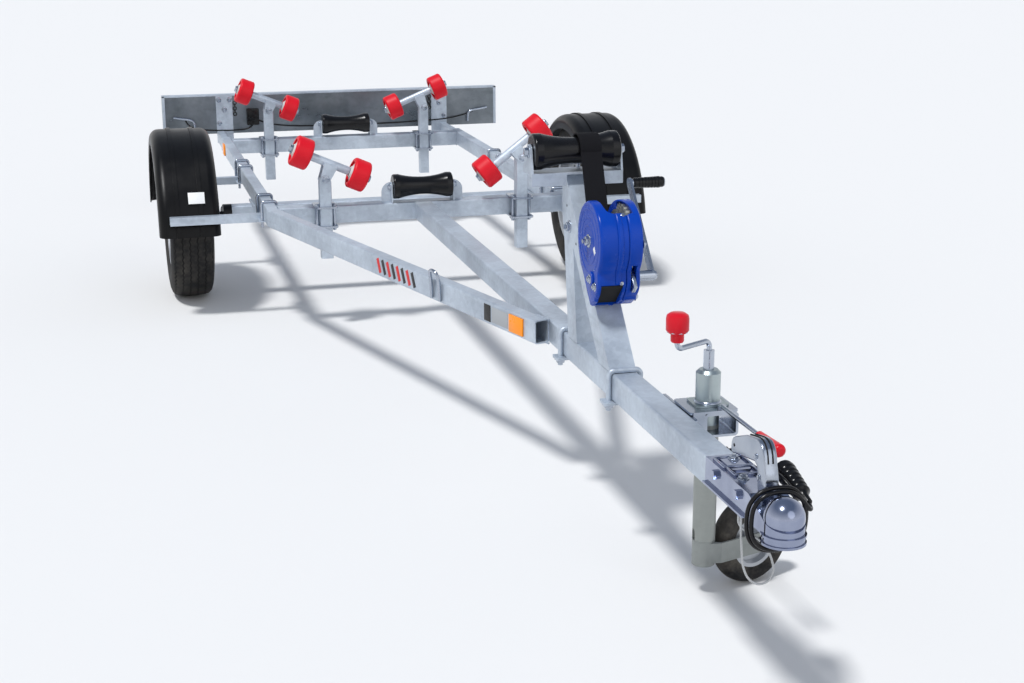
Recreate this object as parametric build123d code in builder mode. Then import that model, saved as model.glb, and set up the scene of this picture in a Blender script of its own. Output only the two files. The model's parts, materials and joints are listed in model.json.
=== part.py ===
"""Single-axle boat trailer with roller cradles, winch post, jockey wheel and light board.

Millimetres. +Z is up, -Y is the towing direction, +X is the trailer's own left side.
The origin lies on the ground, under the middle of the trailer's length and width.
"""
import os
from math import asin, atan2, cos, hypot, radians, sin, sqrt, tan

from build123d import *

# ---------------------------------------------------------------- driving dimensions
FRONT_REACH = 3650.0      # wheel axle to the coupling's nose
REAR_REACH = 1512.0       # wheel axle to the back of the rear lamps
AXLE_Y = (FRONT_REACH - REAR_REACH) / 2
SIDES = {"left": 1, "right": -1}

WALL = 3.0                # wall of every frame tube
TUBE_CORNER = 6.0         # outer corner radius of the frame tubes
FRAME_TOP = 412.0         # top of all frame tubes above the ground
FRAME_HEIGHT = 60.0       # height of drawbar, arms, rails and cross members
DRAWBAR_WIDTH = 60.0
RAIL_WIDTH = 40.0
RAIL_INSIDE = 495.0       # centre line to a rail's inner face
RAIL_FRONT = 594.0        # wheel axle forward to the rails' mitred outer corner
RAIL_REAR = REAR_REACH - 312.0    # wheel axle back to the rails' open ends
ARM_LENGTH = FRONT_REACH - 1907.0  # outer face of a drawbar arm, mitre to front end
CROSS_DEPTH = 60.0
CROSS_REAR = REAR_REACH - 425.0   # wheel axle back to the rear cross member's front face
DRAWBAR_NOSE = 182.0      # ball centre back to the drawbar's front end

SEAT = 0.3                # gap between loose pieces that rest on each other
RUN = 0.05                # radial clearance of a shaft in its bore
CLEAR = 6.0               # least gap between a moving piece and what it passes

TRACK_X = 765.0           # centre line to the middle of a tyre
TYRE_R = 289.0
TYRE_WIDTH = 155.0
RIM_R = 165.0             # bead seat
RIM_FLANGE = 13.0
RIM_WIDTH = 127.0
RIM_WALL = 4.0
STUB_R = 15.0
HUB_R = 55.0
HUB_INNER_X = 668.0
VENT_COUNT = 8
VENT_R = 12.0
VENT_CIRCLE_R = 119.0

BEAM_SIZE = 60.0
BEAM_FORWARD = 100.0      # wheel axle forward to the torsion beam
BEAM_HALF = 612.0
BEAM_WALL = 5.0
BEAM_PLATE = 8.0
BEAM_PLATE_LENGTH = 140.0
BEAM_PLATE_WIDTH = 50.0
SWING_THICK = 30.0
SWING_BEAM_R = 34.0
SWING_HUB_R = 28.0

GUARD_R = 407.0
GUARD_CENTRE_Z = 205.0
GUARD_BOTTOM = 290.0
GUARD_WALL = 4.0
GUARD_INNER_X = 672.0
GUARD_OUTER_X = 882.0
GUARD_SKIRT = 54.0
GUARD_EDGE = 32.0
GUARD_RIB_X = 40.0        # guard's middle to each raised rib
GUARD_RIB_WIDTH = 14.0
GUARD_RIB_RISE = 4.0
STAY_HEIGHT = 28.0
STAY_DEPTH = 30.0
STAY_TOP = 365.0
STAY_WALL = 3.0
STAY_END = 846.0
STAY_FOOT_LENGTH = 170.0
STAY_FOOT_WIDTH = 72.0
RAIL_BOLT_R = 5.0
RAIL_BOLT_SPREAD = 71.0   # stay's middle to each rail bolt
RAIL_BOLT_LOW = 330.0

BALL_R = 25.3             # ball socket for a 50 mm ball
BALL_Z = 397.0
DOME_R = 36.0
LIP_R = 37.0              # pressed rim round the ball socket
LIP_LOW = 352.0
LIP_BEAD = 2.5
HEAD_WIDTH = 69.0
HEAD_WALL = 4.0
HEAD_REAR = 277.0         # ball centre back to the coupling's rear edge
HEAD_SHOULDER = 88.0      # ball centre back to where the sides start to draw in
HEAD_SLOPE_START = 75.0
HEAD_SLOPE = 0.32
HEAD_BOTTOM = 366.0
HEAD_LIP = 6.0
HEAD_PAD = (36.0, 72.0, 3.0)      # width, length and height of the raised panel
HEAD_BOLTS = (225.0, 119.0)       # ball centre back to each cross bolt
HEAD_BOLT_Z = 399.0
HEAD_BOLT_R = 9.0
HEAD_BOLT_HEAD = 7.0
HANDLE_REAR = 238.0       # ball centre back to the lever's tail
HANDLE_FRONT = 53.0
HANDLE_HALF = 13.0

POST_WIDTH = 60.0
POST_DEPTH = 60.0
POST_FOOT = FRONT_REACH - 900.0       # wheel axle forward to the foot of the sloping face
POST_RUN = 352.0
POST_RISE = 384.0
REAR_LEG_FOOT = FRONT_REACH - 1220.0  # wheel axle forward to the rear leg's rear edge
REAR_LEG_DEPTH = 70.0
REAR_LEG_LEAN = radians(9.0)
CLAMP_ROD = 12.0
CLAMP_DROP = 22.0         # bolt ends below the drawbar
CLAMP_PLATE = 6.0
CLAMP_PLATE_DEPTH = 40.0
CLAMP_AHEAD = 10.0        # front bolt ahead of the sloping face's foot
CLAMP_BEHIND = 44.0       # rear bolt behind the rear leg

ROLLER_LENGTH = 206.0
ROLLER_END_R = 42.0
ROLLER_WAIST_R = 30.0
ROLLER_FLAT = 20.0        # straight part at each end of a waisted roller
ROLLER_ROUND = 6.0
PIN_R = 8.0
PIN_END = 8.0             # pin ends beyond the ears
EAR_THICK = 5.0
EAR_GAP = 2.0             # between a roller's end and its ear
BOW_X = -9.0              # bow roller's middle
BOW_RISE = 52.0           # bow roller's axis above the post's top
BOW_AHEAD = 2.0           # bow roller's axis ahead of the post's head
BOW_PLATE_DEPTH = 76.0
BOW_PLATE_BACK = 10.0
BOW_EAR_R = 18.0
BOW_FLANGE = 25.0
KEEL_Z = 465.0
KEEL_AHEAD = 20.0         # keel roller axis behind a cross member's front face
KEEL_EAR_R = 16.0
KEEL_FIN = 36.0           # breadth of the fin that braces an ear

DRUM_UP = 276.0           # drum centre, measured up the post's sloping face from its foot
DRUM_OFF = 100.0          # drum centre, measured square out from that face
DRUM_COVER_R = 88.0
GEAR_UP = 202.0
GEAR_OFF = 61.0
GEAR_COVER_R = 48.0
CASE_BACK = 11.0          # back edge of the case off the sloping face
CASE_LOW = 160.0          # lower end of the case's back edge
SADDLE_R = 24.0           # notch in the case's top where the strap runs in
STRAP_WIDTH = 50.0
STRAP_THICK = 3.0
STRAP_TOP_X = 20.0        # strap's middle where it goes over the bow roller
STRAP_OVER = 36.5         # inner radius of the strap over the bow roller
STRAP_IN_UP = 338.0       # where the strap's lower end enters the case
STRAP_IN_OFF = 60.0
CRANK_X = 92.0
CRANK_LENGTH = 243.0
CRANK_THICK = 6.0
CRANK_BOSS_R = 12.0
GRIP_R = 10.0
GRIP_LENGTH = 80.0

JOCKEY_X = 88.0
JOCKEY_BACK = FRONT_REACH - 622.0
SLEEVE_R = 24.0
SLEEVE_BOTTOM = 122.0
SLEEVE_CAP_R = 25.5
STEM_R = 19.0
STEM_TOP = 380.0
CAP_TOP = 489.0
JOCKEY_WHEEL_R = 95.0
JOCKEY_WHEEL_W = 48.0
JOCKEY_RIM_R = 58.0
JOCKEY_TRAIL = JOCKEY_WHEEL_R + SLEEVE_R + CLEAR
JOCKEY_TURN = 18.0        # fork's direction, degrees from +X
FORK_LOW = 66.0
STRAP_PLATE = 5.0
BRACKET_WIDTH = 72.0
BRACKET_LENGTH = 102.0
BRACKET_AHEAD = 57.0      # jockey tube forward to the bracket's front end
BRACKET_LOW = 362.0
BRACKET_WALL = 5.0
BRACKET_SHIFT = 9.0       # bracket's middle outside the jockey tube's
ROD_R = 4.5
ROD_LENGTH = 190.0
GRIP_LONG = 100.0

POST_X = 340.0            # centre line to a cradle post
CRADLE_POST = 40.0
CRADLE_BOTTOM = 240.0
POST_EAR_R = 17.0         # rounded head of a cradle post round its pivot
PIVOT_R = 6.0
FORK_PLATE = 4.0          # folded saddle over a cradle post
FORK_GAP = 1.0
SADDLE_HALF = 22.0
RED_R = 52.5
RED_WIDTH = 60.0
RED_ROUND = 9.0
RED_DISH_R = 38.0
RED_DISH = 6.0
SHAFT_R = 10.0
SHAFT_TUBE_R = 14.0
SHAFT_END = 12.0          # shaft beyond each roller
CRADLE_PLATE = 6.0
CRADLE_PLATE_WIDTH = 76.0
CRADLE_BOLT_X = 29.0
CRADLE_BOLT_R = 5.0

BOARD_Y = REAR_REACH - 54.0       # wheel axle back to the light board's front face
BOARD_HALF = 768.5
BOARD_LOW = 393.0
BOARD_HIGH = 567.0
BOARD_DEPTH = 45.0
SHEET = 2.0
CARRIER_WIDTH = 30.0
CARRIER_HEIGHT = 50.0
CARRIER_WALL = 2.5
CARRIER_INSIDE = 420.0    # length of a carrier inside its rail
BOARD_PLATE = 5.0
BOARD_PLATE_IN = 458.0    # centre line to a board bracket's inner edge
BOARD_PLATE_OUT = 531.0

CABLE_R = 4.0
WIRE_R = 2.0
COIL_THICK = 16.0
COIL_X = -1.0
COIL_OUTER = (118.0, 122.0, 50.0)     # width, height and corner radius round the coil
COIL_INNER = (88.0, 92.0, 38.0)
GROMMET_BACK = 351.0      # ball centre back to where the cable leaves the drawbar
PLUG_R = 21.0
PLUG_TAIL = 25.0
PLUG_LENGTH = 60.0

os.makedirs("parts", exist_ok=True)


def save(builder, name):
    """Label a finished piece and write it to its own file."""
    builder.part.label = name
    export_step(builder.part, f"parts/{name}.step")


def back(distance):
    """Y of a place given as its distance behind the wheel axle."""
    return AXLE_Y + distance


def bends(points, share=0.45):
    """Largest tangent radius at each corner of a cord's route, as a share of the shorter run."""
    radii = []
    for before, corner, after in zip(points, points[1:], points[2:]):
        run_in = Vector(*corner) - Vector(*before)
        run_out = Vector(*after) - Vector(*corner)
        turn = radians(run_in.get_angle(run_out))
        radii.append(share * min(run_in.length, run_out.length) / tan(turn / 2))
    return radii


def cord(points, radius, name):
    """Round cord along straight runs and tangent arcs, written as a piece of its own."""
    radii = bends(points)
    print(name, "bend radii", [round(value) for value in radii])
    with BuildPart() as tube:
        with BuildLine() as route:
            FilletPolyline(*points, radius=radii)
        with BuildSketch(Plane(origin=route.line @ 0, z_dir=route.line % 0)):
            Circle(radius)
        sweep(path=route.line)
    save(tube, name)


def u_bolt(plane, half_width, top, low, rod):
    """Round bar bent over a tube, its legs hanging down."""
    with BuildPart() as bolt:
        with BuildLine(plane) as bow:
            FilletPolyline((-half_width, low), (-half_width, top), (half_width, top), (half_width, low),
                           radius=2 * rod)
        with BuildSketch(Plane(origin=bow.line @ 0, z_dir=bow.line % 0)):
            Circle(rod)
        sweep(path=bow.line)
    return bolt.part


FRAME_MID_Z = FRAME_TOP - FRAME_HEIGHT / 2
FRAME_BOTTOM = FRAME_TOP - FRAME_HEIGHT
RAIL_MID_X = RAIL_INSIDE + RAIL_WIDTH / 2
RAIL_OUTSIDE = RAIL_INSIDE + RAIL_WIDTH
BALL_Y = back(-FRONT_REACH) + LIP_R + LIP_BEAD
DRAWBAR_FRONT_Y = BALL_Y + DRAWBAR_NOSE

# The arm's angle puts its front inner corner on the drawbar's side.
ARM_REACH = RAIL_OUTSIDE - DRAWBAR_WIDTH / 2
ARM_ANGLE = asin(ARM_REACH / hypot(ARM_LENGTH, RAIL_WIDTH)) - atan2(RAIL_WIDTH, ARM_LENGTH)
MITRE_Y = back(-RAIL_FRONT)
CROSS_FRONT_Y = MITRE_Y + RAIL_WIDTH * tan(ARM_ANGLE / 2)
CROSS_REAR_Y = back(CROSS_REAR)


def tube_section(width, height, wall=WALL, corner=TUBE_CORNER):
    """Rounded rectangular tube section in the current sketch."""
    RectangleRounded(width, height, corner)
    RectangleRounded(width - 2 * wall, height - 2 * wall, corner - wall / 2, mode=Mode.SUBTRACT)


def mitre_plane(side):
    """Upright plane of the mitre between a rail and its arm, facing the rear."""
    slope = ARM_ANGLE / 2
    return Plane(
        origin=(side * RAIL_OUTSIDE, MITRE_Y, 0),
        x_dir=(0, 0, 1),
        z_dir=(side * sin(slope), cos(slope), 0),
    )


# ---------------------------------------------------------------- welded frame
with BuildPart() as drawbar:
    with BuildSketch(Plane.XZ.offset(-CROSS_FRONT_Y)) as section:
        with Locations((0, FRAME_MID_Z)):
            tube_section(DRAWBAR_WIDTH, FRAME_HEIGHT)
    extrude(amount=CROSS_FRONT_Y - DRAWBAR_FRONT_Y)
save(drawbar, "drawbar")

for side_name, side in SIDES.items():
    with BuildPart() as rail:
        with BuildSketch(Plane.XZ.offset(-back(RAIL_REAR))) as section:
            with Locations((side * RAIL_MID_X, FRAME_MID_Z)):
                tube_section(RAIL_WIDTH, FRAME_HEIGHT)
        extrude(amount=RAIL_REAR + RAIL_FRONT)
        split(bisect_by=mitre_plane(side), keep=Keep.TOP)
    save(rail, f"rail_{side_name}")

    arm_dir = Vector(-side * sin(ARM_ANGLE), -cos(ARM_ANGLE), 0)
    arm_in = Vector(-side * cos(ARM_ANGLE), sin(ARM_ANGLE), 0)
    arm_start = Vector(side * RAIL_OUTSIDE, MITRE_Y, FRAME_MID_Z) + arm_in * (RAIL_WIDTH / 2)
    with BuildPart() as arm:
        with BuildSketch(Plane(origin=arm_start - arm_dir * RAIL_WIDTH, x_dir=arm_in, z_dir=arm_dir)):
            tube_section(RAIL_WIDTH, FRAME_HEIGHT)
        extrude(amount=ARM_LENGTH + RAIL_WIDTH)
        split(bisect_by=mitre_plane(side), keep=Keep.BOTTOM)
    save(arm, f"arm_{side_name}")

CROSS_PLACES = {"front": CROSS_FRONT_Y, "rear": CROSS_REAR_Y}
for place, face_y in CROSS_PLACES.items():
    with BuildPart() as cross:
        with BuildSketch(Plane.YZ.offset(-RAIL_INSIDE)):
            with Locations((face_y + CROSS_DEPTH / 2, FRAME_MID_Z)):
                tube_section(CROSS_DEPTH, FRAME_HEIGHT)
        extrude(amount=2 * RAIL_INSIDE)
    save(cross, f"cross_{place}")

# ---------------------------------------------------------------- axle
BEAM_Y = back(-BEAM_FORWARD)
BEAM_Z = FRAME_BOTTOM - BEAM_PLATE - BEAM_SIZE / 2
with BuildPart() as axle_beam:
    with BuildSketch(Plane.YZ.offset(-BEAM_HALF)):
        with Locations((BEAM_Y, BEAM_Z)):
            tube_section(BEAM_SIZE, BEAM_SIZE, wall=BEAM_WALL)
    extrude(amount=2 * BEAM_HALF)
    with BuildSketch(Plane.XY.offset(FRAME_BOTTOM - BEAM_PLATE)):
        with Locations((-RAIL_MID_X, BEAM_Y), (RAIL_MID_X, BEAM_Y)):
            Rectangle(BEAM_PLATE_WIDTH, BEAM_PLATE_LENGTH)
    extrude(amount=BEAM_PLATE)
save(axle_beam, "axle_beam")

SWING_X = BEAM_HALF + SWING_THICK / 2
with BuildPart() as swing_arms:
    for side in SIDES.values():
        with BuildSketch(Plane.YZ.offset(side * SWING_X)):
            with Locations((BEAM_Y, BEAM_Z)):
                Circle(SWING_BEAM_R)
            with Locations((back(0), TYRE_R)):
                Circle(SWING_HUB_R)
            make_hull()
        extrude(amount=SWING_THICK / 2, both=True)
        with BuildSketch(Plane.YZ.offset(side * (SWING_X + SWING_THICK / 2))):
            with Locations((back(0), TYRE_R)):
                Circle(STUB_R)
        extrude(amount=side * (TRACK_X - SWING_X - SWING_THICK / 2 - 10))
save(swing_arms, "swing_arms")

# ---------------------------------------------------------------- road wheels
for side_name, side in SIDES.items():
    wheel_plane = Plane(origin=(side * TRACK_X, back(0), TYRE_R), x_dir=(side, 0, 0), z_dir=(0, -1, 0))
    half = RIM_WIDTH / 2
    BEAD_TOP = RIM_R + RIM_FLANGE + SEAT
    with BuildPart() as tyre:
        with BuildSketch(wheel_plane) as section:
            with BuildLine():
                bead_in = Line((-half, RIM_R), (-half, BEAD_TOP))
                wall_in = ThreePointArc(
                    bead_in @ 1,
                    (-TYRE_WIDTH / 2, (RIM_R + TYRE_R) / 2),
                    (-TYRE_WIDTH / 2 + 16, TYRE_R - 8),
                )
                crown = ThreePointArc(wall_in @ 1, (0, TYRE_R), (TYRE_WIDTH / 2 - 16, TYRE_R - 8))
                wall_out = ThreePointArc(
                    crown @ 1, (TYRE_WIDTH / 2, (RIM_R + TYRE_R) / 2), (half, BEAD_TOP)
                )
                Polyline(wall_out @ 1, (half, RIM_R), (half - 16, RIM_R), (half - 16, RIM_R + 14),
                         (half - 8, TYRE_R - 40), (half - 30, TYRE_R - 14), (-half + 30, TYRE_R - 14),
                         (-half + 8, TYRE_R - 40), (-half + 16, RIM_R + 14), (-half + 16, RIM_R),
                         (-half, RIM_R))
            make_face()
        revolve(axis=Axis((0, back(0), TYRE_R), (1, 0, 0)))
    save(tyre, f"tyre_{side_name}")

    with BuildPart() as wheel:
        with BuildSketch(wheel_plane) as section:
            with BuildLine():
                Polyline(
                    (-half - 5, RIM_R + RIM_FLANGE), (-half, RIM_R + RIM_FLANGE), (-half, RIM_R),
                    (-30, RIM_R), (-22, RIM_R - 22), (22, RIM_R - 22), (30, RIM_R), (half, RIM_R),
                    (half, RIM_R + RIM_FLANGE), (half + 5, RIM_R + RIM_FLANGE), (half + 5, RIM_R - RIM_WALL),
                    (34, RIM_R - RIM_WALL), (26, RIM_R - 26), (4, RIM_R - 26), (14, 100), (-16, 84),
                    (-16, STUB_R + 22), (6, STUB_R + 20), (6, 0), (-4, 0), (-4, STUB_R + RUN),
                    (HUB_INNER_X - TRACK_X, STUB_R + RUN), (HUB_INNER_X - TRACK_X, HUB_R), (-20, HUB_R),
                    (-20, 86), (10, 104), (0, RIM_R - 26), (-26, RIM_R - 26), (-34, RIM_R - RIM_WALL),
                    (-half - 5, RIM_R - RIM_WALL), close=True,
                )
            make_face()
        revolve(axis=Axis((0, back(0), TYRE_R), (1, 0, 0)))
        with BuildSketch(Plane(origin=(side * TRACK_X, back(0), TYRE_R), x_dir=(0, 1, 0), z_dir=(1, 0, 0))):
            with PolarLocations(VENT_CIRCLE_R, VENT_COUNT):
                Circle(VENT_R)
        extrude(amount=HUB_R / 2, both=True, mode=Mode.SUBTRACT)
    save(wheel, f"wheel_{side_name}")

# ---------------------------------------------------------------- mudguards and stays
STAY_SEAT_Y = sqrt((GUARD_R + GUARD_RIB_RISE) ** 2 - (STAY_TOP - STAY_HEIGHT - GUARD_CENTRE_Z) ** 2)
for side_name, side in SIDES.items():
    guard_mid = side * (GUARD_INNER_X + GUARD_OUTER_X) / 2
    guard_width = GUARD_OUTER_X - GUARD_INNER_X
    channel_plane = Plane(origin=(guard_mid, back(0), GUARD_CENTRE_Z), x_dir=(1, 0, 0), z_dir=(0, -1, 0))
    with BuildPart() as guard:
        with BuildSketch(channel_plane):
            with Locations((0, GUARD_R - GUARD_SKIRT / 2)):
                outer = Rectangle(guard_width, GUARD_SKIRT)
            fillet(outer.vertices().group_by(Axis.Y)[-1], GUARD_EDGE)
        revolve(axis=Axis((0, back(0), GUARD_CENTRE_Z), (1, 0, 0)))
        with BuildSketch(channel_plane):
            with Locations((-GUARD_RIB_X, GUARD_R), (GUARD_RIB_X, GUARD_R)):
                Rectangle(GUARD_RIB_WIDTH, 2 * GUARD_RIB_RISE)
        revolve(axis=Axis((0, back(0), GUARD_CENTRE_Z), (1, 0, 0)))
        with BuildSketch(channel_plane):
            with Locations((0, GUARD_R - GUARD_WALL - GUARD_SKIRT / 2)):
                inner = Rectangle(guard_width - 2 * GUARD_WALL, GUARD_SKIRT)
            fillet(inner.vertices().group_by(Axis.Y)[-1], GUARD_EDGE - GUARD_WALL)
        revolve(axis=Axis((0, back(0), GUARD_CENTRE_Z), (1, 0, 0)), mode=Mode.SUBTRACT)
        split(bisect_by=Plane.XY.offset(GUARD_BOTTOM), keep=Keep.TOP)
    save(guard, f"mudguard_{side_name}")

STAY_REACH = STAY_SEAT_Y + SEAT + STAY_DEPTH / 2
STAY_PLACES = (back(-STAY_REACH), back(STAY_REACH))
RAIL_BOLT_HALF = RAIL_WIDTH / 2 + RAIL_BOLT_R + SEAT
with BuildPart() as stays:
    for stay_y in STAY_PLACES:
        for side in SIDES.values():
            with BuildSketch(Plane.YZ.offset(side * RAIL_OUTSIDE)):
                with Locations((stay_y, STAY_TOP - STAY_HEIGHT / 2)):
                    Rectangle(STAY_DEPTH, STAY_HEIGHT)
                with Locations((stay_y, STAY_TOP - STAY_HEIGHT / 2 - STAY_WALL)):
                    Rectangle(STAY_DEPTH - 2 * STAY_WALL, STAY_HEIGHT, mode=Mode.SUBTRACT)
            extrude(amount=side * (STAY_END - RAIL_OUTSIDE))
            with BuildSketch(Plane.XY.offset(FRAME_BOTTOM - STAY_WALL)):
                with Locations((side * RAIL_MID_X, stay_y)):
                    Rectangle(STAY_FOOT_WIDTH, STAY_FOOT_LENGTH)
                    with GridLocations(2 * RAIL_BOLT_HALF, 2 * RAIL_BOLT_SPREAD, 2, 2):
                        Circle(RAIL_BOLT_R + SEAT, mode=Mode.SUBTRACT)
            extrude(amount=STAY_WALL)
save(stays, "stays")

with BuildPart() as rail_bolts:
    for stay_y in STAY_PLACES:
        for side in SIDES.values():
            for along_y in (stay_y - RAIL_BOLT_SPREAD, stay_y + RAIL_BOLT_SPREAD):
                bolt_plane = Plane.XZ.offset(-along_y).move(Location((side * RAIL_MID_X, 0, 0)))
                add(u_bolt(bolt_plane, RAIL_BOLT_HALF, FRAME_TOP + RAIL_BOLT_R + SEAT, RAIL_BOLT_LOW, RAIL_BOLT_R))
save(rail_bolts, "rail_bolts")

# ---------------------------------------------------------------- coupling
HEAD_TOP = FRAME_TOP + HEAD_WALL
HEAD_HALF = HEAD_WIDTH / 2
HEAD_REAR_Y = BALL_Y + HEAD_REAR
SHOULDER_Y = BALL_Y + HEAD_SHOULDER
SLOPE_START_Y = BALL_Y + HEAD_SLOPE_START
CAVITY_FRONT_Y = BALL_Y + BALL_R + 3 * HEAD_WALL
with BuildPart() as coupling_head:
    # pressed sheet body: parallel sides that draw in to the rounded nose
    with BuildSketch(Plane.XY.offset(HEAD_BOTTOM)):
        with BuildLine():
            side_line = Line((-HEAD_HALF, HEAD_REAR_Y), (-HEAD_HALF, SHOULDER_Y))
            taper = Line(side_line @ 1, (-DOME_R, BALL_Y))
            nose = ThreePointArc(taper @ 1, (0, BALL_Y - DOME_R), (DOME_R, BALL_Y))
            Polyline(nose @ 1, (HEAD_HALF, SHOULDER_Y), (HEAD_HALF, HEAD_REAR_Y), side_line @ 0)
        make_face()
    extrude(amount=HEAD_TOP - HEAD_BOTTOM)
    slope_plane = Plane(origin=(0, SLOPE_START_Y, HEAD_TOP), z_dir=(0, -HEAD_SLOPE, 1))
    split(bisect_by=slope_plane, keep=Keep.BOTTOM)
    # side lips, rim with two beads, dome and raised panel
    with BuildSketch(Plane.XY.offset(HEAD_BOTTOM)):
        with Locations((0, (SHOULDER_Y + HEAD_REAR_Y) / 2)):
            Rectangle(HEAD_WIDTH + 2 * HEAD_LIP, HEAD_REAR_Y - SHOULDER_Y)
    extrude(amount=HEAD_WALL)
    for low_z, high_z, bead in ((LIP_LOW, HEAD_BOTTOM + HEAD_WALL, 0.0), (LIP_LOW, LIP_LOW + 4, LIP_BEAD),
                                (HEAD_BOTTOM, HEAD_BOTTOM + HEAD_WALL, LIP_BEAD)):
        with BuildSketch(Plane.XY.offset(low_z)):
            with Locations((0, BALL_Y)):
                Circle(LIP_R + bead)
        extrude(amount=high_z - low_z)
    with Locations((0, BALL_Y, BALL_Z)):
        Sphere(DOME_R)
    pad_width, pad_length, pad_rise = HEAD_PAD
    with BuildSketch(Plane.XY.offset(HEAD_TOP)):
        with Locations((0, HEAD_REAR_Y - 20 - pad_length / 2)):
            RectangleRounded(pad_width, pad_length, 6)
    extrude(amount=pad_rise)
    # cross bolts
    with BuildSketch(Plane.YZ.offset(-HEAD_HALF - HEAD_BOLT_HEAD)):
        for bolt_back in HEAD_BOLTS:
            with Locations((BALL_Y + bolt_back, HEAD_BOLT_Z)):
                RegularPolygon(HEAD_BOLT_R, 6)
    extrude(amount=HEAD_WIDTH + 2 * HEAD_BOLT_HEAD)
    # room for the drawbar, hollow of the pressing and ball socket
    with BuildSketch(Plane.XZ.offset(-HEAD_REAR_Y)):
        with Locations((0, (LIP_LOW + FRAME_TOP) / 2)):
            Rectangle(DRAWBAR_WIDTH + 2 * SEAT, FRAME_TOP - LIP_LOW)
    extrude(amount=HEAD_REAR_Y - DRAWBAR_FRONT_Y + 2, mode=Mode.SUBTRACT)
    with BuildSketch(Plane.YZ.offset(-DRAWBAR_WIDTH / 2)):
        Polygon(
            (DRAWBAR_FRONT_Y + 3, LIP_LOW), (DRAWBAR_FRONT_Y + 3, FRAME_TOP), (SLOPE_START_Y, FRAME_TOP),
            (CAVITY_FRONT_Y, FRAME_TOP - HEAD_SLOPE * (SLOPE_START_Y - CAVITY_FRONT_Y)),
            (CAVITY_FRONT_Y, LIP_LOW), align=None,
        )
    extrude(amount=DRAWBAR_WIDTH, mode=Mode.SUBTRACT)
    with BuildSketch(Plane.XY.offset(LIP_LOW)):
        with Locations((0, BALL_Y)):
            Circle(BALL_R)
    extrude(amount=BALL_Z - LIP_LOW, mode=Mode.SUBTRACT)
    with Locations((0, BALL_Y, BALL_Z)):
        Sphere(BALL_R, mode=Mode.SUBTRACT)
save(coupling_head, "coupling_head")

HANDLE_REAR_Y = BALL_Y + HANDLE_REAR
HANDLE_FRONT_Y = BALL_Y + HANDLE_FRONT
HANDLE_SEAT = HEAD_TOP + SEAT
with BuildPart() as coupling_handle:
    with BuildSketch(Plane.YZ.offset(-HANDLE_HALF)):
        with BuildLine():
            foot = Line((SLOPE_START_Y + 1, HANDLE_SEAT), (SLOPE_START_Y + 20, HANDLE_SEAT))
            under = Polyline(foot @ 1, (SLOPE_START_Y + 22, HANDLE_SEAT + 18), (HANDLE_REAR_Y, HANDLE_SEAT + 19))
            tail = ThreePointArc(
                under @ 1, (HANDLE_REAR_Y + 11, HANDLE_SEAT + 36), (HANDLE_REAR_Y - 8, HANDLE_SEAT + 51)
            )
            crest = Line(tail @ 1, (HANDLE_FRONT_Y + 54, HANDLE_SEAT + 89))
            brow = ThreePointArc(
                crest @ 1, (HANDLE_FRONT_Y + 17, HANDLE_SEAT + 79), (HANDLE_FRONT_Y, HANDLE_SEAT + 46)
            )
            Polyline(brow @ 1, (HANDLE_FRONT_Y, HANDLE_SEAT + 14), (SLOPE_START_Y - 4, HANDLE_SEAT + 6), foot @ 0)
        make_face()
    extrude(amount=2 * HANDLE_HALF)
save(coupling_handle, "coupling_handle")

# ---------------------------------------------------------------- winch post
POST_FOOT_Y = back(-POST_FOOT)
POST_HEAD_Y = POST_FOOT_Y + POST_RUN
POST_TOP = FRAME_TOP + POST_RISE
POST_LEAN = atan2(POST_RISE, POST_RUN)
POST_DEEP_Y = POST_DEPTH / sin(POST_LEAN)
REAR_FOOT_Y = back(-REAR_LEG_FOOT)
REAR_LEG_SHIFT = POST_RISE * tan(REAR_LEG_LEAN)


def leg_outline(inset):
    """Both legs of the post seen from the side, drawn inset from their outer faces."""
    run = inset / sin(POST_LEAN)
    Polygon(
        (POST_FOOT_Y + run, FRAME_TOP), (POST_FOOT_Y + POST_DEEP_Y - run, FRAME_TOP),
        (POST_HEAD_Y + POST_DEEP_Y - run, POST_TOP), (POST_HEAD_Y + run, POST_TOP), align=None,
    )
    Polygon(
        (REAR_FOOT_Y - REAR_LEG_DEPTH + inset, FRAME_TOP), (REAR_FOOT_Y - inset, FRAME_TOP),
        (REAR_FOOT_Y + REAR_LEG_SHIFT - inset, POST_TOP),
        (REAR_FOOT_Y + REAR_LEG_SHIFT - REAR_LEG_DEPTH + inset, POST_TOP), align=None,
    )


with BuildPart() as winch_post:
    with BuildSketch(Plane.YZ.offset(-POST_WIDTH / 2)):
        leg_outline(0)
        Polygon(
            (REAR_FOOT_Y, FRAME_TOP), (REAR_FOOT_Y + REAR_LEG_SHIFT, POST_TOP),
            (REAR_FOOT_Y + 400, POST_TOP), (REAR_FOOT_Y + 400, FRAME_TOP), align=None, mode=Mode.SUBTRACT,
        )
        Polygon(
            (POST_FOOT_Y, FRAME_TOP), (POST_HEAD_Y, POST_TOP), (POST_HEAD_Y - 400, POST_TOP),
            (POST_FOOT_Y - 400, FRAME_TOP), align=None, mode=Mode.SUBTRACT,
        )
    extrude(amount=POST_WIDTH)
    with BuildSketch(Plane.YZ.offset(-POST_WIDTH / 2 + WALL)):
        leg_outline(WALL)
        Polygon(
            (REAR_FOOT_Y - WALL, FRAME_TOP), (REAR_FOOT_Y + REAR_LEG_SHIFT - WALL, POST_TOP),
            (REAR_FOOT_Y + 400, POST_TOP), (REAR_FOOT_Y + 400, FRAME_TOP), align=None, mode=Mode.SUBTRACT,
        )
        Polygon(
            (POST_FOOT_Y + WALL / sin(POST_LEAN), FRAME_TOP), (POST_HEAD_Y + WALL / sin(POST_LEAN), POST_TOP),
            (POST_HEAD_Y - 400, POST_TOP), (POST_FOOT_Y - 400, FRAME_TOP), align=None, mode=Mode.SUBTRACT,
        )
    extrude(amount=POST_WIDTH - 2 * WALL, mode=Mode.SUBTRACT)
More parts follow.
